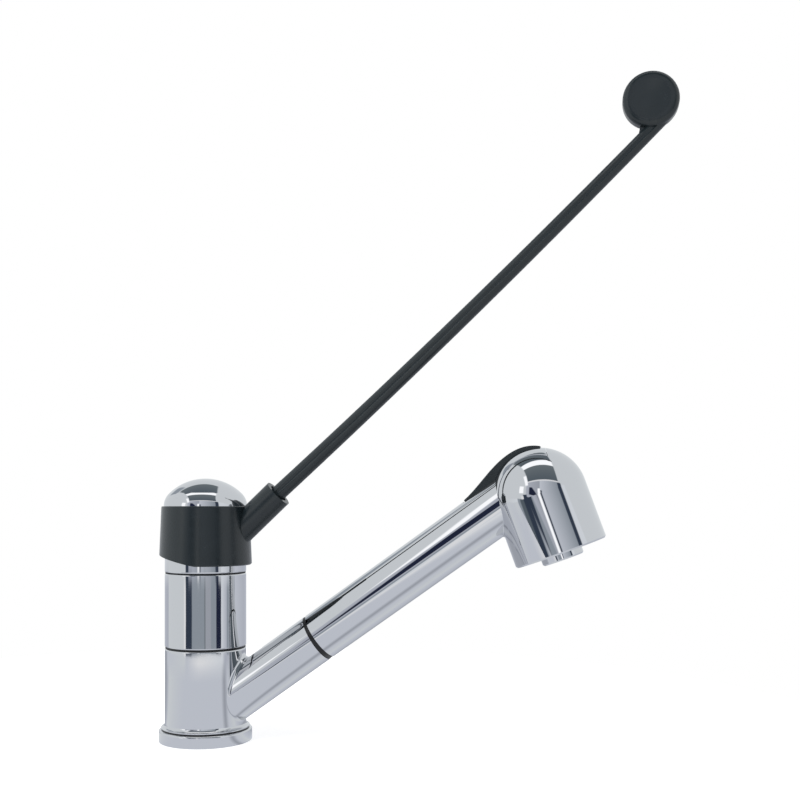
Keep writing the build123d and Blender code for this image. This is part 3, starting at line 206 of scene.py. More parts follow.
# The real grain is 0.05 mm, drawn coarser so that it shows.
polymer_grain = 0.0004
polymer_depth = 0.00001
white_polymer, tree, place = start_material("moulded_white_polymer")
cloud = add_node(tree, "ShaderNodeTexNoise", {"Vector": place, "Scale": 1 / flow_cloud,
                                              "Detail": 3.0, "Distortion": 0.6})
tone = add_node(tree, "ShaderNodeMix", {0: cloud.outputs["Fac"], 6: linear(polymer_colour),
                                        7: linear(polymer_flow_colour)}, data_type="RGBA")
grain = add_node(tree, "ShaderNodeTexNoise", {"Vector": place, "Scale": 1 / polymer_grain})
satin = add_node(tree, "ShaderNodeBump", {"Height": grain.outputs["Fac"], "Strength": 0.5,
                                          "Distance": polymer_depth})
shader = add_node(tree, "ShaderNodeBsdfPrincipled", {
    "Base Color": tone.outputs[2], "Roughness": 0.38, "Normal": satin.outputs["Normal"]})
add_node(tree, "ShaderNodeOutputMaterial", {"Surface": shader.outputs["BSDF"]})
dress(white_polymer, "cartridge_base", "cartridge_housing", "turret", "disc_carrier")

# Ceramic discs: sintered alumina, lapped flat until the two faces seal. It is a
# cold white with tiny grey specks, nearly as smooth as glass.
alumina_colour = "EDEBE4"
speck_colour = "B9B7B0"
# The specks' size is a share of the spacing. Real ones are 0.02 mm, drawn coarser.
speck_spacing = 0.0008
speck_middle = 0.04
speck_rim = 0.16
lapped_alumina, tree, place = start_material("lapped_alumina_ceramic")
speck = add_node(tree, "ShaderNodeTexVoronoi", {"Vector": place, "Scale": 1 / speck_spacing})
specked = add_node(tree, "ShaderNodeMapRange", {
    "Value": speck.outputs["Distance"], "From Min": speck_middle, "From Max": speck_rim,
    "To Min": 1.0, "To Max": 0.0})
tone = add_node(tree, "ShaderNodeMix", {0: specked.outputs[0], 6: linear(alumina_colour),
                                        7: linear(speck_colour)}, data_type="RGBA")
shader = add_node(tree, "ShaderNodeBsdfPrincipled", {"Base Color": tone.outputs[2],
                                                     "Roughness": 0.14, "IOR": 1.76})
add_node(tree, "ShaderNodeOutputMaterial", {"Surface": shader.outputs["BSDF"]})
dress(lapped_alumina, "fixed_disc", "moving_disc")

# Pins, spindle and screws: turned stainless steel, a grey metal with fine
# lathe lines that spread its gloss.
steel_colour = "A9ABAF"
# Real lines are 0.1 mm apart, drawn coarser so that they show.
lathe_line = 0.0004
lathe_depth = 0.000004
bright_line_roughness = 0.2
dull_line_roughness = 0.34
stainless, tree, place = start_material("turned_stainless_steel")
line = add_node(tree, "ShaderNodeTexNoise", {"Vector": place, "Scale": 1 / lathe_line,
                                             "Detail": 2.0})
turned = add_node(tree, "ShaderNodeBump", {"Height": line.outputs["Fac"], "Strength": 0.6,
                                           "Distance": lathe_depth})
worn = add_node(tree, "ShaderNodeMapRange", {
    "Value": line.outputs["Fac"], "To Min": bright_line_roughness,
    "To Max": dull_line_roughness})
shader = add_node(tree, "ShaderNodeBsdfPrincipled", {
    "Base Color": linear(steel_colour), "Metallic": 1.0, "Roughness": worn.outputs[0],
    "Normal": turned.outputs["Normal"]})
add_node(tree, "ShaderNodeOutputMaterial", {"Surface": shader.outputs["BSDF"]})
dress(stainless, "swivel_stop_pin", "rocker_pin", "spindle", "spindle_pin", "handle_screw",
      "socket_screw")

# Pull-out hose: a rubber tube under a braid of grey nylon strands, 12 mm across.
# It rises through the base, bends into the spout, and ends in its brass nut. The
# spout carries it, and the part between bend and nut pays out with the handset.
millimetre = 0.001
hose_radius = 6.0 * millimetre
hose_wall = 2.0 * millimetre
hose_offset = 4.0 * millimetre
hose_bend_radius = 30.0 * millimetre
spout_foot = Vector((0, 0, 12.9)) * millimetre
spout_rise = math.radians(35.53)
hose_length_in_spout = 42.0 * millimetre
ring_segments = 48
bend_segments = 24
run_spacing = 0.3 * millimetre
strand_pairs = 16
strand_lay = 27.4 * millimetre
strand_depth = 0.25 * millimetre

spout_direction = Vector((math.cos(spout_rise), 0, math.sin(spout_rise)))
corner_distance = hose_offset / math.cos(spout_rise)
bend_angle = math.pi / 2 - spout_rise
bend_reach = hose_bend_radius * math.tan(bend_angle / 2)
bend_start = spout_foot.z + corner_distance * math.sin(spout_rise) - bend_reach
bend_end = corner_distance + bend_reach
bend_centre = Vector((hose_offset + hose_bend_radius, 0, bend_start))

ring_places = [Matrix.Translation((hose_offset, 0, 0))]
for step in range(bend_segments + 1):
    turn = Matrix.Rotation(bend_angle * step / bend_segments, 4, "Y")
    ring_places.append(Matrix.Translation(bend_centre) @ turn
                       @ Matrix.Translation((-hose_bend_radius, 0, 0)))
lean = Matrix.Rotation(bend_angle, 4, "Y")
run_steps = math.ceil((hose_length_in_spout - bend_end) / run_spacing)
for step in range(1, run_steps + 1):
    distance = bend_end + (hose_length_in_spout - bend_end) * step / run_steps
    ring_places.append(Matrix.Translation(spout_foot + spout_direction * distance) @ lean)

form = bmesh.new()
share_round = {}
edges_before = []
for ring_place in ring_places:
    ring = bmesh.ops.create_circle(form, segments=ring_segments, radius=hose_radius,
                                   matrix=ring_place)["verts"]
    edges = list({edge for vert in ring for edge in vert.link_edges})
    for vert in ring:
        flat = ring_place.inverted() @ vert.co
        share_round[vert] = math.atan2(flat.y, flat.x) / math.tau
    if edges_before:
        bmesh.ops.bridge_loops(form, edges=edges_before + edges)
    edges_before = edges
wrap = form.loops.layers.uv.new("braid_wrap")
for face in form.faces:
    face.smooth = True
    shares = [share_round[loop.vert] for loop in face.loops]
    # Only on a face at the map's seam do the corners lie over half a turn apart.
    crosses_seam = max(shares) - min(shares) > 0.5
    for loop, share in zip(face.loops, shares):
        loop[wrap].uv = (share + 1 if crosses_seam and share < 0 else share, 0)
bmesh.ops.recalc_face_normals(form, faces=form.faces)
bmesh.ops.solidify(form, geom=form.faces[:], thickness=hose_wall)
mesh = bpy.data.meshes.new("braided_hose")
form.to_mesh(mesh)
form.free()
braided_hose = bpy.data.objects.new("braided_hose", mesh)
bpy.context.scene.collection.objects.link(braided_hose)

# Braid: grey nylon strands, woven over and under by turns at 54 degrees to the
# hose, with dark gaps where the black tube shows, and painted shade darkening each
# strand's sides into them. It goes round by the hose's own map and along by its
# height, so the strands keep their size when the hose pays out.
strand_colour = "9A9DA1"
strand_shade_colour = "7E8186"
gap_and_painted_shade_colour = "2A2C2F"
# A strand is measured in pitches: half of one from gap to crown, and where its
# side starts and ends. The crossing says how fast it dives under its neighbour.
half_pitch = 0.5
gap_edge = 0.03
crown_edge = 0.3
crossing = 0.15
# Real fibres are 0.03 mm thick, drawn coarser so that they show.
fibre = 0.0004
nylon_braid, tree, place = start_material("braided_grey_nylon")
around = add_node(tree, "ShaderNodeSeparateXYZ", {
    0: add_node(tree, "ShaderNodeUVMap", uv_map="braid_wrap").outputs[0]}).outputs[0]
height = add_node(tree, "ShaderNodeSeparateXYZ", {0: place}).outputs[2]
angle_round = add_node(tree, "ShaderNodeMath", {0: around, 1: math.tau}, operation="MULTIPLY")
under_axis = add_node(tree, "ShaderNodeMath", {0: angle_round.outputs[0]}, operation="COSINE")
axis_height = add_node(tree, "ShaderNodeMath", {
    0: under_axis.outputs[0], 1: hose_radius * math.cos(spout_rise), 2: height},
    operation="MULTIPLY_ADD")
laps = add_node(tree, "ShaderNodeMath", {
    0: axis_height.outputs[0], 1: 1 / (math.sin(spout_rise) * strand_lay)},
    operation="MULTIPLY")
left_hand = add_node(tree, "ShaderNodeMath", {0: around, 1: laps.outputs[0]}, operation="ADD")
right_hand = add_node(tree, "ShaderNodeMath", {0: around, 1: laps.outputs[0]},
                      operation="SUBTRACT")
crowns = []
for lean_of_strand in (left_hand, right_hand):
    count = add_node(tree, "ShaderNodeMath", {0: lean_of_strand.outputs[0],
                                              1: strand_pairs}, operation="MULTIPLY")
    crowns.append(add_node(tree, "ShaderNodeMath", {0: count.outputs[0], 1: half_pitch},
                           operation="PINGPONG").outputs[0])
over = add_node(tree, "ShaderNodeMath", {0: laps.outputs[0], 1: math.tau * strand_pairs},
                operation="MULTIPLY")
weave = add_node(tree, "ShaderNodeMath", {0: over.outputs[0]}, operation="SINE")
which = add_node(tree, "ShaderNodeMapRange", {
    "Value": weave.outputs[0], "From Min": -crossing, "From Max": crossing})
top = add_node(tree, "ShaderNodeMix", {0: which.outputs[0], 2: crowns[0], 3: crowns[1]})
relief = add_node(tree, "ShaderNodeMapRange", {
    "Value": top.outputs[0], "From Min": gap_edge, "From Max": crown_edge})
fibres = add_node(tree, "ShaderNodeTexNoise", {"Vector": place, "Scale": 1 / fibre,
                                               "Detail": 1.0})
strand = add_node(tree, "ShaderNodeMix", {0: fibres.outputs["Fac"], 6: linear(strand_colour),
                                          7: linear(strand_shade_colour)}, data_type="RGBA")
# Painted shade: the colour darkens from each strand's crown down its sides to the dark gap
# colour.
tone = add_node(tree, "ShaderNodeMix", {0: relief.outputs[0], 6: linear(gap_and_painted_shade_colour),
                                        7: strand.outputs[2]}, data_type="RGBA")
woven = add_node(tree, "ShaderNodeBump", {"Height": relief.outputs[0], "Strength": 0.8,
                                          "Distance": strand_depth})
shader = add_node(tree, "ShaderNodeBsdfPrincipled", {
    "Base Color": tone.outputs[2], "Roughness": 0.48, "Normal": woven.outputs["Normal"]})
add_node(tree, "ShaderNodeOutputMaterial", {"Surface": shader.outputs["BSDF"]})
braided_hose.data.materials.append(nylon_braid)
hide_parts("pull_out_hose")
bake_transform(braided_hose)

# Handset: moulded ABS halves, plated with copper, nickel and bright chrome, smoother
# than polished brass, with long shallow sinks. A mirror would show the flats of the
# mesh, so the tube's surface faces the way that its true round does.
sink_wave = 0.033
sink_depth = 0.000025
moulded_clean_roughness = 0.025
moulded_wiped_roughness = 0.042
# The tube's radius tapers from 14.8 to 14.4 mm. The play takes in both ends, but no
# fillet.
mean_tube_radius = 14.6 * millimetre
tube_radius_play = 0.4 * millimetre
tube_end = 224.0 * millimetre
moulding_chrome, tree, place = start_material("chrome_plated_abs")
from_foot = add_node(tree, "ShaderNodeVectorMath", {0: place, 1: spout_foot},
                     operation="SUBTRACT").outputs[0]
along = add_node(tree, "ShaderNodeVectorMath", {0: from_foot, 1: spout_direction},
                 operation="DOT_PRODUCT").outputs["Value"]
on_axis = add_node(tree, "ShaderNodeVectorMath", {0: spout_direction, "Scale": along},
                   operation="SCALE").outputs[0]
outward = add_node(tree, "ShaderNodeVectorMath", {0: from_foot, 1: on_axis},
                   operation="SUBTRACT").outputs[0]
reach = add_node(tree, "ShaderNodeVectorMath", {0: outward}, operation="LENGTH")
on_tube = add_node(tree, "ShaderNodeMath", {0: reach.outputs["Value"], 1: mean_tube_radius,
                                            2: tube_radius_play}, operation="COMPARE")
before_head = add_node(tree, "ShaderNodeMath", {0: along, 1: tube_end}, operation="LESS_THAN")
round_here = add_node(tree, "ShaderNodeMath", {
    0: on_tube.outputs[0], 1: before_head.outputs[0]}, operation="MULTIPLY")
true_round = add_node(tree, "ShaderNodeVectorTransform", {0: outward}, vector_type="NORMAL",
                      convert_from="OBJECT", convert_to="WORLD")
facet = add_node(tree, "ShaderNodeNewGeometry")
drawn = add_node(tree, "ShaderNodeMix", {0: round_here.outputs[0], 4: facet.outputs["Normal"],
                                         5: true_round.outputs[0]}, data_type="VECTOR")
wave = add_node(tree, "ShaderNodeTexNoise", {"Vector": place, "Scale": 1 / sink_wave,
                                             "Detail": 0.0})
waved = add_node(tree, "ShaderNodeBump", {
    "Height": wave.outputs["Fac"], "Strength": 1.0, "Distance": sink_depth,
    "Normal": drawn.outputs[1]})
wiped = add_node(tree, "ShaderNodeTexNoise", {"Vector": place, "Scale": 1 / wipe_mark,
                                              "Detail": 3.0})
haze = add_node(tree, "ShaderNodeMapRange", {
    "Value": wiped.outputs["Fac"], "From Min": wiped_from, "From Max": wiped_to,
    "To Min": moulded_clean_roughness, "To Max": moulded_wiped_roughness})
shader = add_node(tree, "ShaderNodeBsdfPrincipled", {
    "Base Color": linear(chrome_colour), "Metallic": 1.0, "Roughness": haze.outputs[0],
    "Normal": waved.outputs["Normal"]})
add_node(tree, "ShaderNodeOutputMaterial", {"Surface": shader.outputs["BSDF"]})
dress(moulding_chrome, "handset_shell", "head_shell", "dome_cap", "aerator_ring")

# Waterways of the handset: moulded grey acetal, dense and slightly waxy, with
# faint flow lines from the gate.
grey_colour = "7C7F82"
grey_flow_colour = "6D7073"
grey_acetal, tree, place = start_material("moulded_grey_acetal")
cloud = add_node(tree, "ShaderNodeTexNoise", {"Vector": place, "Scale": 1 / flow_cloud,
                                              "Detail": 2.0, "Distortion": 1.0})
tone = add_node(tree, "ShaderNodeMix", {0: cloud.outputs["Fac"], 6: linear(grey_colour),
                                        7: linear(grey_flow_colour)}, data_type="RGBA")
grain = add_node(tree, "ShaderNodeTexNoise", {"Vector": place, "Scale": 1 / polymer_grain})
satin = add_node(tree, "ShaderNodeBump", {"Height": grain.outputs["Fac"], "Strength": 0.4,
                                          "Distance": polymer_depth})
shader = add_node(tree, "ShaderNodeBsdfPrincipled", {
    "Base Color": tone.outputs[2], "Roughness": 0.4, "Normal": satin.outputs["Normal"]})
add_node(tree, "ShaderNodeOutputMaterial", {"Surface": shader.outputs["BSDF"]})
dress(grey_acetal, "handset_spigot", "waterway_pipe", "check_valve", "outlet_body",
      "diverter_body", "diverter_stem", "spray_face", "aerator_insert")

# Nozzle mat: moulded silicone that limescale rubs off. It is darker grey than
# the face it stands through, soft and velvety.
silicone_colour = "2B2D30"
silicone_bloom_colour = "3A3D41"
nozzle_silicone, tree, place = start_material("moulded_silicone")
cloud = add_node(tree, "ShaderNodeTexNoise", {"Vector": place, "Scale": 1 / bloom_cloud,
                                              "Detail": 3.0})
tone = add_node(tree, "ShaderNodeMix", {0: cloud.outputs["Fac"], 6: linear(silicone_colour),
                                        7: linear(silicone_bloom_colour)}, data_type="RGBA")
grain = add_node(tree, "ShaderNodeTexNoise", {"Vector": place, "Scale": 1 / rubber_grain})
velvet = add_node(tree, "ShaderNodeBump", {"Height": grain.outputs["Fac"], "Strength": 0.4,
                                           "Distance": rubber_depth})
shader = add_node(tree, "ShaderNodeBsdfPrincipled", {
    "Base Color": tone.outputs[2], "Roughness": 0.55, "IOR": 1.41,
    "Normal": velvet.outputs["Normal"]})
add_node(tree, "ShaderNodeOutputMaterial", {"Surface": shader.outputs["BSDF"]})
dress(nozzle_silicone, "nozzle_mat")

# Handle, lever and rocker: glass-filled nylon, moulded black. The glass gives it
# a slightly blue-green depth, and the mould's fine spark texture a soft gloss.
nylon_colour = "1A2225"
nylon_flow_colour = "20292E"
flow_streak = 0.006
# Real spark craters are 0.05 mm across, drawn coarser so that they show.
spark_grain = 0.0004
spark_depth = 0.000004
glossy_roughness = 0.2
satin_roughness = 0.3
black_nylon, tree, place = start_material("moulded_glass_filled_nylon")
streak = add_node(tree, "ShaderNodeTexNoise", {"Vector": place, "Scale": 1 / flow_streak,
                                               "Detail": 3.0, "Distortion": 0.5})
tone = add_node(tree, "ShaderNodeMix", {0: streak.outputs["Fac"], 6: linear(nylon_colour),
                                        7: linear(nylon_flow_colour)}, data_type="RGBA")
grain = add_node(tree, "ShaderNodeTexVoronoi", {"Vector": place, "Scale": 1 / spark_grain})
sparked = add_node(tree, "ShaderNodeBump", {"Height": grain.outputs["Distance"],
                                            "Strength": 0.5, "Distance": spark_depth})
gloss = add_node(tree, "ShaderNodeMapRange", {
    "Value": streak.outputs["Fac"], "To Min": glossy_roughness, "To Max": satin_roughness})
shader = add_node(tree, "ShaderNodeBsdfPrincipled", {
    "Base Color": tone.outputs[2], "Roughness": gloss.outputs[0],
    "Normal": sparked.outputs["Normal"]})
add_node(tree, "ShaderNodeOutputMaterial", {"Surface": shader.outputs["BSDF"]})
dress(black_nylon, "handle_collar", "lever_rod", "diverter_rocker")

# Gate pip: the stub that stays on the lever's finger disc where the nylon was
# let into the mould. It is cut off nearly flush, beside the middle of the dish.
pip_place = Vector((263.0, -4.3, 367.9)) * millimetre
pip_radius = 0.55 * millimetre
pip_taper = 0.8
pip_height = 0.4 * millimetre
pip_edge = 0.12 * millimetre
form = bmesh.new()
bmesh.ops.create_cone(form, cap_ends=True, segments=24, radius1=pip_radius,
                      radius2=pip_radius * pip_taper, depth=pip_height,
                      matrix=Matrix.Translation(pip_place) @ Matrix.Rotation(
                          math.pi / 2, 4, "X"))
front_edges = [edge for edge in form.edges
               if all(vert.co.y < pip_place.y for vert in edge.verts)]
bmesh.ops.bevel(form, geom=front_edges, offset=pip_edge, offset_type="OFFSET", segments=3,
                profile=0.5, affect="EDGES", material=-1)
for face in form.faces:
    face.smooth = len(face.verts) == 4
mesh = bpy.data.meshes.new("gate_pip")
form.to_mesh(mesh)
form.free()
gate_pip = bpy.data.objects.new("gate_pip", mesh)
bpy.context.scene.collection.objects.link(gate_pip)
gate_pip.data.materials.append(black_nylon)
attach(gate_pip, "handle")

# Studio table: a round white top that ends a forearm's length from the tap. The
# camera sees it white and it keeps the tap's shadow. To glossy rays it glows with a
# painted reflection of the room and painted shade, greyer near the tap and lighter
# towards its far edge. All angles are in degrees.
table_radius = 0.42
table_gap = 0.0002
far_from = 0.26
far_to = 0.37
laminate_colour = "E8E8E8"
seen_white_strength = 0.62
# The studio's surfaces, in plain steps from its lamps to navy cloth. The table's
# painted reflection and the surround take their colours from these alone.
lamp_white = "FFFFFF"
white_paper = "F0F4F8"
pale_wall = "E6EAEC"
cool_wall = "DCE0E8"
shaded_wall = "C6CAD4"
grey_screen = "B2B6BE"
grey_cloth = "A0A8B0"
slate_cloth = "788084"
dark_slate = "606A72"
dark_cloth = "3A4454"
navy_cloth = "262C42"
camera_place = Vector((0.2302, -0.5971, 0.1379))
view_direction = Vector((-0.184, 0.983, 0)).normalized()
view_right = Vector((view_direction.y, -view_direction.x, 0))


def hang_panels(tree, angle, low, high, soft, panels):
    """Hangs coloured panels round the tap, from a low to a high angle, with soft edges.

    A panel is the angle that it starts at, its colour there, and its colour at its end.
    """
    share = add_node(tree, "ShaderNodeMapRange", {
        "Value": angle, "From Min": math.radians(low), "From Max": math.radians(high)})
    ramp = add_node(tree, "ShaderNodeValToRGB", {"Fac": share.outputs[0]})
    elements = ramp.color_ramp.elements
    elements.remove(elements[-1])
    elements[0].position = 0
    elements[0].color = linear(panels[0][1])
    for panel, before in zip(panels[1:], panels[:-1]):
        edge = (panel[0] - low) / (high - low)
        blur = soft / (high - low)
        elements.new(max(edge - blur, 0)).color = linear(before[-1])
        elements.new(min(edge + blur, 1)).color = linear(panel[1])
    elements.new(1.0).color = linear(panels[-1][-1])
    return ramp.outputs["Color"]


mesh = bpy.data.meshes.new("table_top")
form = bmesh.new()
bmesh.ops.create_circle(form, cap_ends=True, segments=160, radius=table_radius)
bmesh.ops.translate(form, vec=(0, 0, -table_gap), verts=form.verts)
form.to_mesh(mesh)
form.free()
table_top = bpy.data.objects.new("table_top", mesh)
bpy.context.scene.collection.objects.link(table_top)

table_laminate, tree, place = start_material("white_laminate")
ahead, aside = [add_node(tree, "ShaderNodeVectorMath", {0: place, 1: direction},
                         operation="DOT_PRODUCT").outputs["Value"]
                for direction in (-view_direction, view_right)]
bearing = add_node(tree, "ShaderNodeMath", {0: aside, 1: ahead},
                   operation="ARCTAN2").outputs[0]
from_tap = add_node(tree, "ShaderNodeVectorMath", {0: place}, operation="LENGTH")
far = add_node(tree, "ShaderNodeMapRange", {
    "Value": from_tap.outputs["Value"], "From Min": far_from, "From Max": far_to})
# Painted reflection and painted shade: the colours that glossy rays see on the table, set by
# bearing, greyer near the tap and lighter far out.
near_painted_reflection = hang_panels(tree, bearing, -180, 180, 4, [
    (-180, grey_screen), (-125, shaded_wall, pale_wall), (-105, pale_wall, cool_wall),
    (-46, cool_wall), (56, grey_screen), (66, cool_wall, pale_wall),
    (90, cool_wall, shaded_wall), (122, grey_screen)])
far_painted_reflection = hang_panels(tree, bearing, -180, 180, 4, [
    (-180, grey_screen), (-125, cool_wall, pale_wall), (-46, cool_wall, lamp_white),
    (-5, lamp_white, white_paper), (60, shaded_wall, cool_wall), (122, grey_screen)])
painted_table_reflection = add_node(tree, "ShaderNodeMix", {0: far.outputs[0], 6: near_painted_reflection,
                                                   7: far_painted_reflection}, data_type="RGBA")
ray = add_node(tree, "ShaderNodeLightPath")
lit = add_node(tree, "ShaderNodeBsdfDiffuse", {"Color": linear(laminate_colour)})
seen_white = add_node(tree, "ShaderNodeEmission", {"Color": (1, 1, 1, 1),
                                                   "Strength": seen_white_strength})
seen = add_node(tree, "ShaderNodeAddShader", {0: lit.outputs[0], 1: seen_white.outputs[0]})
# The table glows with this painted reflection for glossy rays only.
painted_reflection_glow = add_node(tree, "ShaderNodeEmission", {"Color": painted_table_reflection.outputs[2]})
for_camera = add_node(tree, "ShaderNodeMixShader", {0: ray.outputs["Is Camera Ray"],
                                                    1: lit.outputs[0], 2: seen.outputs[0]})
for_chrome = add_node(tree, "ShaderNodeMixShader", {0: ray.outputs["Is Glossy Ray"],
                                                    1: for_camera.outputs[0],
                                                    2: painted_reflection_glow.outputs[0]})
add_node(tree, "ShaderNodeOutputMaterial", {"Surface": for_chrome.outputs[0]})
table_top.data.materials.append(table_laminate)

# Studio surround: what the chrome mirrors. Pale walls stand beside a greyer room in
# four heights, with a dark flag, and a tube of light at a dark post. Overhead hang a
# dark ceiling with its lamp, a white strip and a grey beam. A window is at the left.
room_light = 0.62
room_light_colour = "EEEEF0"
lamp_glow = 0.42
flag_lean = 0.75
ceiling_narrowing = 0.31
ceiling_left = -34
lamp_from = 76.5
lamp_to = 92.5
table_edge = -3.7
post_left = -7.2
world = bpy.data.worlds.new("studio_surround")
bpy.context.scene.world = world
world.use_nodes = True
tree = world.node_tree
tree.nodes.clear()
toward = add_node(tree, "ShaderNodeTexCoord").outputs["Generated"]
ahead, aside, upward = [add_node(tree, "ShaderNodeVectorMath", {0: toward, 1: direction},
                                 operation="DOT_PRODUCT").outputs["Value"]
                        for direction in (-view_direction, view_right, Vector((0, 0, 1)))]
bearing = add_node(tree, "ShaderNodeMath", {0: aside, 1: ahead},
                   operation="ARCTAN2").outputs[0]
overhead = add_node(tree, "ShaderNodeMath", {0: upward, 1: ahead},
                    operation="ARCTAN2").outputs[0]
rise = add_node(tree, "ShaderNodeMath", {0: upward}, operation="ARCSINE").outputs[0]
sideways = add_node(tree, "ShaderNodeMath", {0: aside}, operation="ARCSINE").outputs[0]

leaning = add_node(tree, "ShaderNodeMath", {0: rise, 1: flag_lean, 2: bearing},
                   operation="MULTIPLY_ADD").outputs[0]
narrowing = add_node(tree, "ShaderNodeMath", {0: overhead, 1: ceiling_narrowing, 2: sideways},
                     operation="MULTIPLY_ADD").outputs[0]

room_floor = hang_panels(tree, bearing, -180, 180, 1, [
    (-180, grey_screen, shaded_wall), (-117, white_paper, pale_wall),
    (-95, pale_wall, white_paper), (-63.5, grey_cloth), (-57, dark_slate),
    (-48, dark_cloth), (-37, grey_cloth, cool_wall), (-30, pale_wall, white_paper),
    (-12, lamp_white), (-4, white_paper), (2, pale_wall), (60, cool_wall, shaded_wall)])
room_low = hang_panels(tree, bearing, -180, 180, 0.6, [
    (-180, shaded_wall), (-117, pale_wall), (-53, lamp_white), (-47, dark_cloth),
    (-28.5, grey_cloth), (7, slate_cloth), (9.5, grey_screen), (25, grey_cloth),
    (40, navy_cloth), (54, white_paper, shaded_wall), (72, grey_cloth), (85, white_paper),
    (92, grey_cloth), (100, cool_wall, shaded_wall), (150, shaded_wall)])
room_middle = hang_panels(tree, bearing, -180, 180, 0.6, [
    (-180, cool_wall, pale_wall), (-112, pale_wall), (-48, dark_cloth),
    (-39, shaded_wall), (-24, shaded_wall, grey_screen), (-8, cool_wall, grey_cloth),
    (37.5, dark_cloth), (46.5, white_paper), (60, white_paper, cool_wall),
    (95, cool_wall, shaded_wall), (140, shaded_wall)])
room_high = hang_panels(tree, bearing, -180, 180, 0.6, [
    (-180, cool_wall, pale_wall), (-100, pale_wall), (-41, shaded_wall, grey_screen),
    (-8, cool_wall, grey_cloth), (37.5, dark_cloth), (46.5, white_paper),
    (60, white_paper, cool_wall), (95, cool_wall, shaded_wall), (140, shaded_wall)])
ceiling = hang_panels(tree, overhead, 0, 180, 0.7, [
    (0, lamp_white), (36.5, dark_slate, slate_cloth), (lamp_from, lamp_white),
    (lamp_to, dark_slate, slate_cloth), (124, pale_wall)])


def mark_out(*bands):
    """Marks out a part of the surround, as 1 where all its bands cross and 0 elsewhere.

    A band is an angle, how far that angle runs either way, how soft the band's edges
    are, and where it starts and ends. None leaves it open at that end.
    """
    part = None
    for angle, limit, soft, start, end in bands:
        panels = [(-limit, "FFFFFF" if start is None else "000000")]
        if start is not None:
            panels.append((start, "FFFFFF"))
        if end is not None:
            panels.append((end, "000000"))
        band = hang_panels(tree, angle, -limit, limit, soft, panels)
        part = band if part is None else add_node(
            tree, "ShaderNodeMath", {0: part, 1: band}, operation="MULTIPLY").outputs[0]
    return part


above_floor = mark_out((rise, 90, 0.5, -8.5, None))
above_table = mark_out((rise, 90, 0.4, table_edge, None))
above_middle = mark_out((rise, 90, 0.4, -0.3, None))
above_door = mark_out((overhead, 180, 0.5, 33.5, None))
flag = mark_out((bearing, 180, 0.6, -33.5, None), (leaning, 180, 0.8, None, -14),
                (rise, 90, 0.4, 0.3, 17))
light_tube = mark_out((bearing, 180, 0.6, -12.8, post_left),
                      (rise, 90, 0.4, table_edge, 14.5))
post = mark_out((bearing, 180, 0.6, post_left, -3.2), (rise, 90, 0.4, table_edge, 10.5))
window = mark_out((bearing, 180, 0.6, -58, -47.5), (rise, 90, 0.6, 3, 18))
beam = mark_out((sideways, 90, 1, -41, -27), (overhead, 180, 2, 128, 150))
strip = mark_out((sideways, 90, 1, -40.5, ceiling_left), (overhead, 180, 2, 26, 56))
ceiling_bands = ((sideways, 90, 1, ceiling_left, None), (narrowing, 90, 1, None, 46.7))
under_ceiling = mark_out(*ceiling_bands)
lamp_face = mark_out(*ceiling_bands, (overhead, 180, 0.7, lamp_from, lamp_to))

white_part = strip
for light in (window, light_tube):
    white_part = add_node(tree, "ShaderNodeMath", {0: white_part, 1: light},
                          operation="MAXIMUM").outputs[0]
lights = add_node(tree, "ShaderNodeMath", {0: white_part, 1: lamp_face}, operation="MAXIMUM")
glow = add_node(tree, "ShaderNodeMath", {0: lights.outputs[0], 1: lamp_glow, 2: 1.0},
                operation="MULTIPLY_ADD")
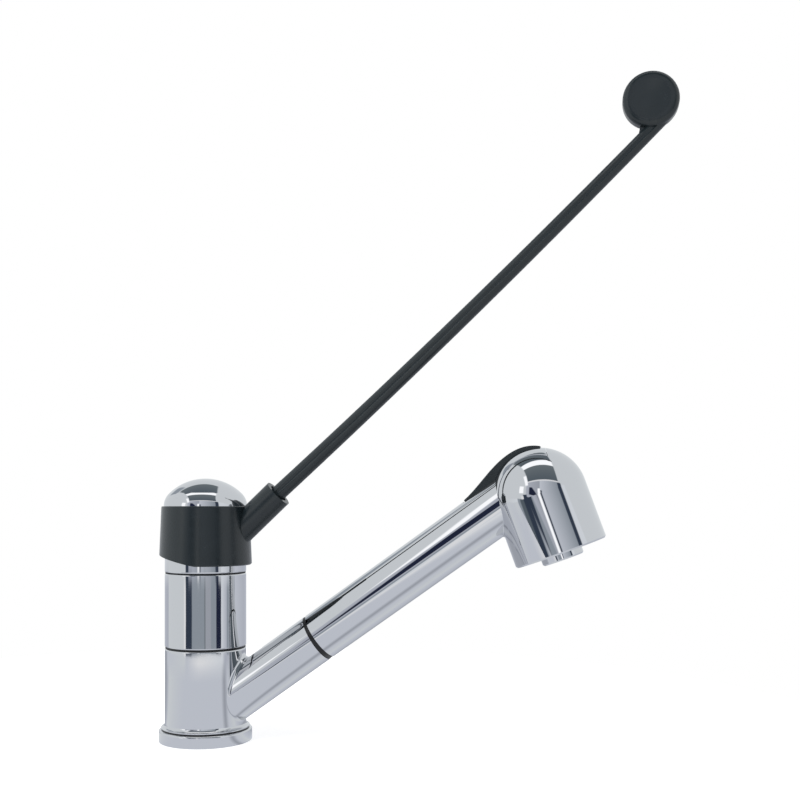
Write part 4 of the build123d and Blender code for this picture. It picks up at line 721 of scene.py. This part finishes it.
# Each layer covers the ones before it where its share is 1: first what is overhead,
# then the room, and last the two together under the white lights.
overhead_view = linear(pale_wall)
for share, layer in ((under_ceiling, ceiling), (beam, linear(grey_cloth))):
    overhead_view = add_node(tree, "ShaderNodeMix", {0: share, 6: overhead_view, 7: layer},
                             data_type="RGBA").outputs[2]
view = room_floor
for share, layer in ((above_floor, room_low), (above_table, room_middle),
                     (above_middle, room_high), (flag, linear(navy_cloth)),
                     (post, linear(dark_cloth)), (above_door, overhead_view),
                     (white_part, (1, 1, 1, 1))):
    view = add_node(tree, "ShaderNodeMix", {0: share, 6: view, 7: layer},
                    data_type="RGBA").outputs[2]
ray = add_node(tree, "ShaderNodeLightPath")
glossy_view = add_node(tree, "ShaderNodeBackground", {"Color": view,
                                                      "Strength": glow.outputs[0]})
plain_light = add_node(tree, "ShaderNodeBackground", {"Color": linear(room_light_colour),
                                                      "Strength": room_light})
white_view = add_node(tree, "ShaderNodeBackground", {"Color": (1, 1, 1, 1)})
lit_or_mirrored = add_node(tree, "ShaderNodeMixShader", {
    0: ray.outputs["Is Glossy Ray"], 1: plain_light.outputs[0], 2: glossy_view.outputs[0]})
surround = add_node(tree, "ShaderNodeMixShader", {
    0: ray.outputs["Is Camera Ray"], 1: lit_or_mirrored.outputs[0], 2: white_view.outputs[0]})
add_node(tree, "ShaderNodeOutputWorld", {"Surface": surround.outputs[0]})

# Lamp: one wide soft box, a white cloth over its frame, above and to the left of
# the camera. The chrome doesn't mirror it, because the surround shows the lights.
lamp_place = Vector((-0.45, -0.75, 1.1))
lamp_aim = Vector((0.1, 0, 0.12))
lamp_width = 0.7
lamp_power = 9.0
lamp = bpy.data.lights.new("soft_box", "AREA")
lamp.shape = "SQUARE"
lamp.size = lamp_width
lamp.energy = lamp_power
soft_box = bpy.data.objects.new("soft_box", lamp)
bpy.context.scene.collection.objects.link(soft_box)
soft_box.matrix_world = Matrix.Translation(lamp_place) @ (
    (lamp_aim - lamp_place).to_track_quat("-Z", "Y").to_matrix().to_4x4())
soft_box.visible_glossy = False

# Camera: level, a little left of the head, with a rising front that keeps the tap's
# uprights parallel. The lens and the sensor are in millimetres.
camera = bpy.data.cameras.new("camera")
camera.lens = 47.25
camera.sensor_width = 36.0
camera.shift_y = 0.136
camera.clip_start = 0.01
viewer = bpy.data.objects.new("camera", camera)
bpy.context.scene.collection.objects.link(viewer)
viewer.matrix_world = Matrix.Translation(camera_place) @ (
    view_direction.to_track_quat("-Z", "Y").to_matrix().to_4x4())
bpy.context.scene.camera = viewer
bpy.context.scene.view_settings.view_transform = "Standard"
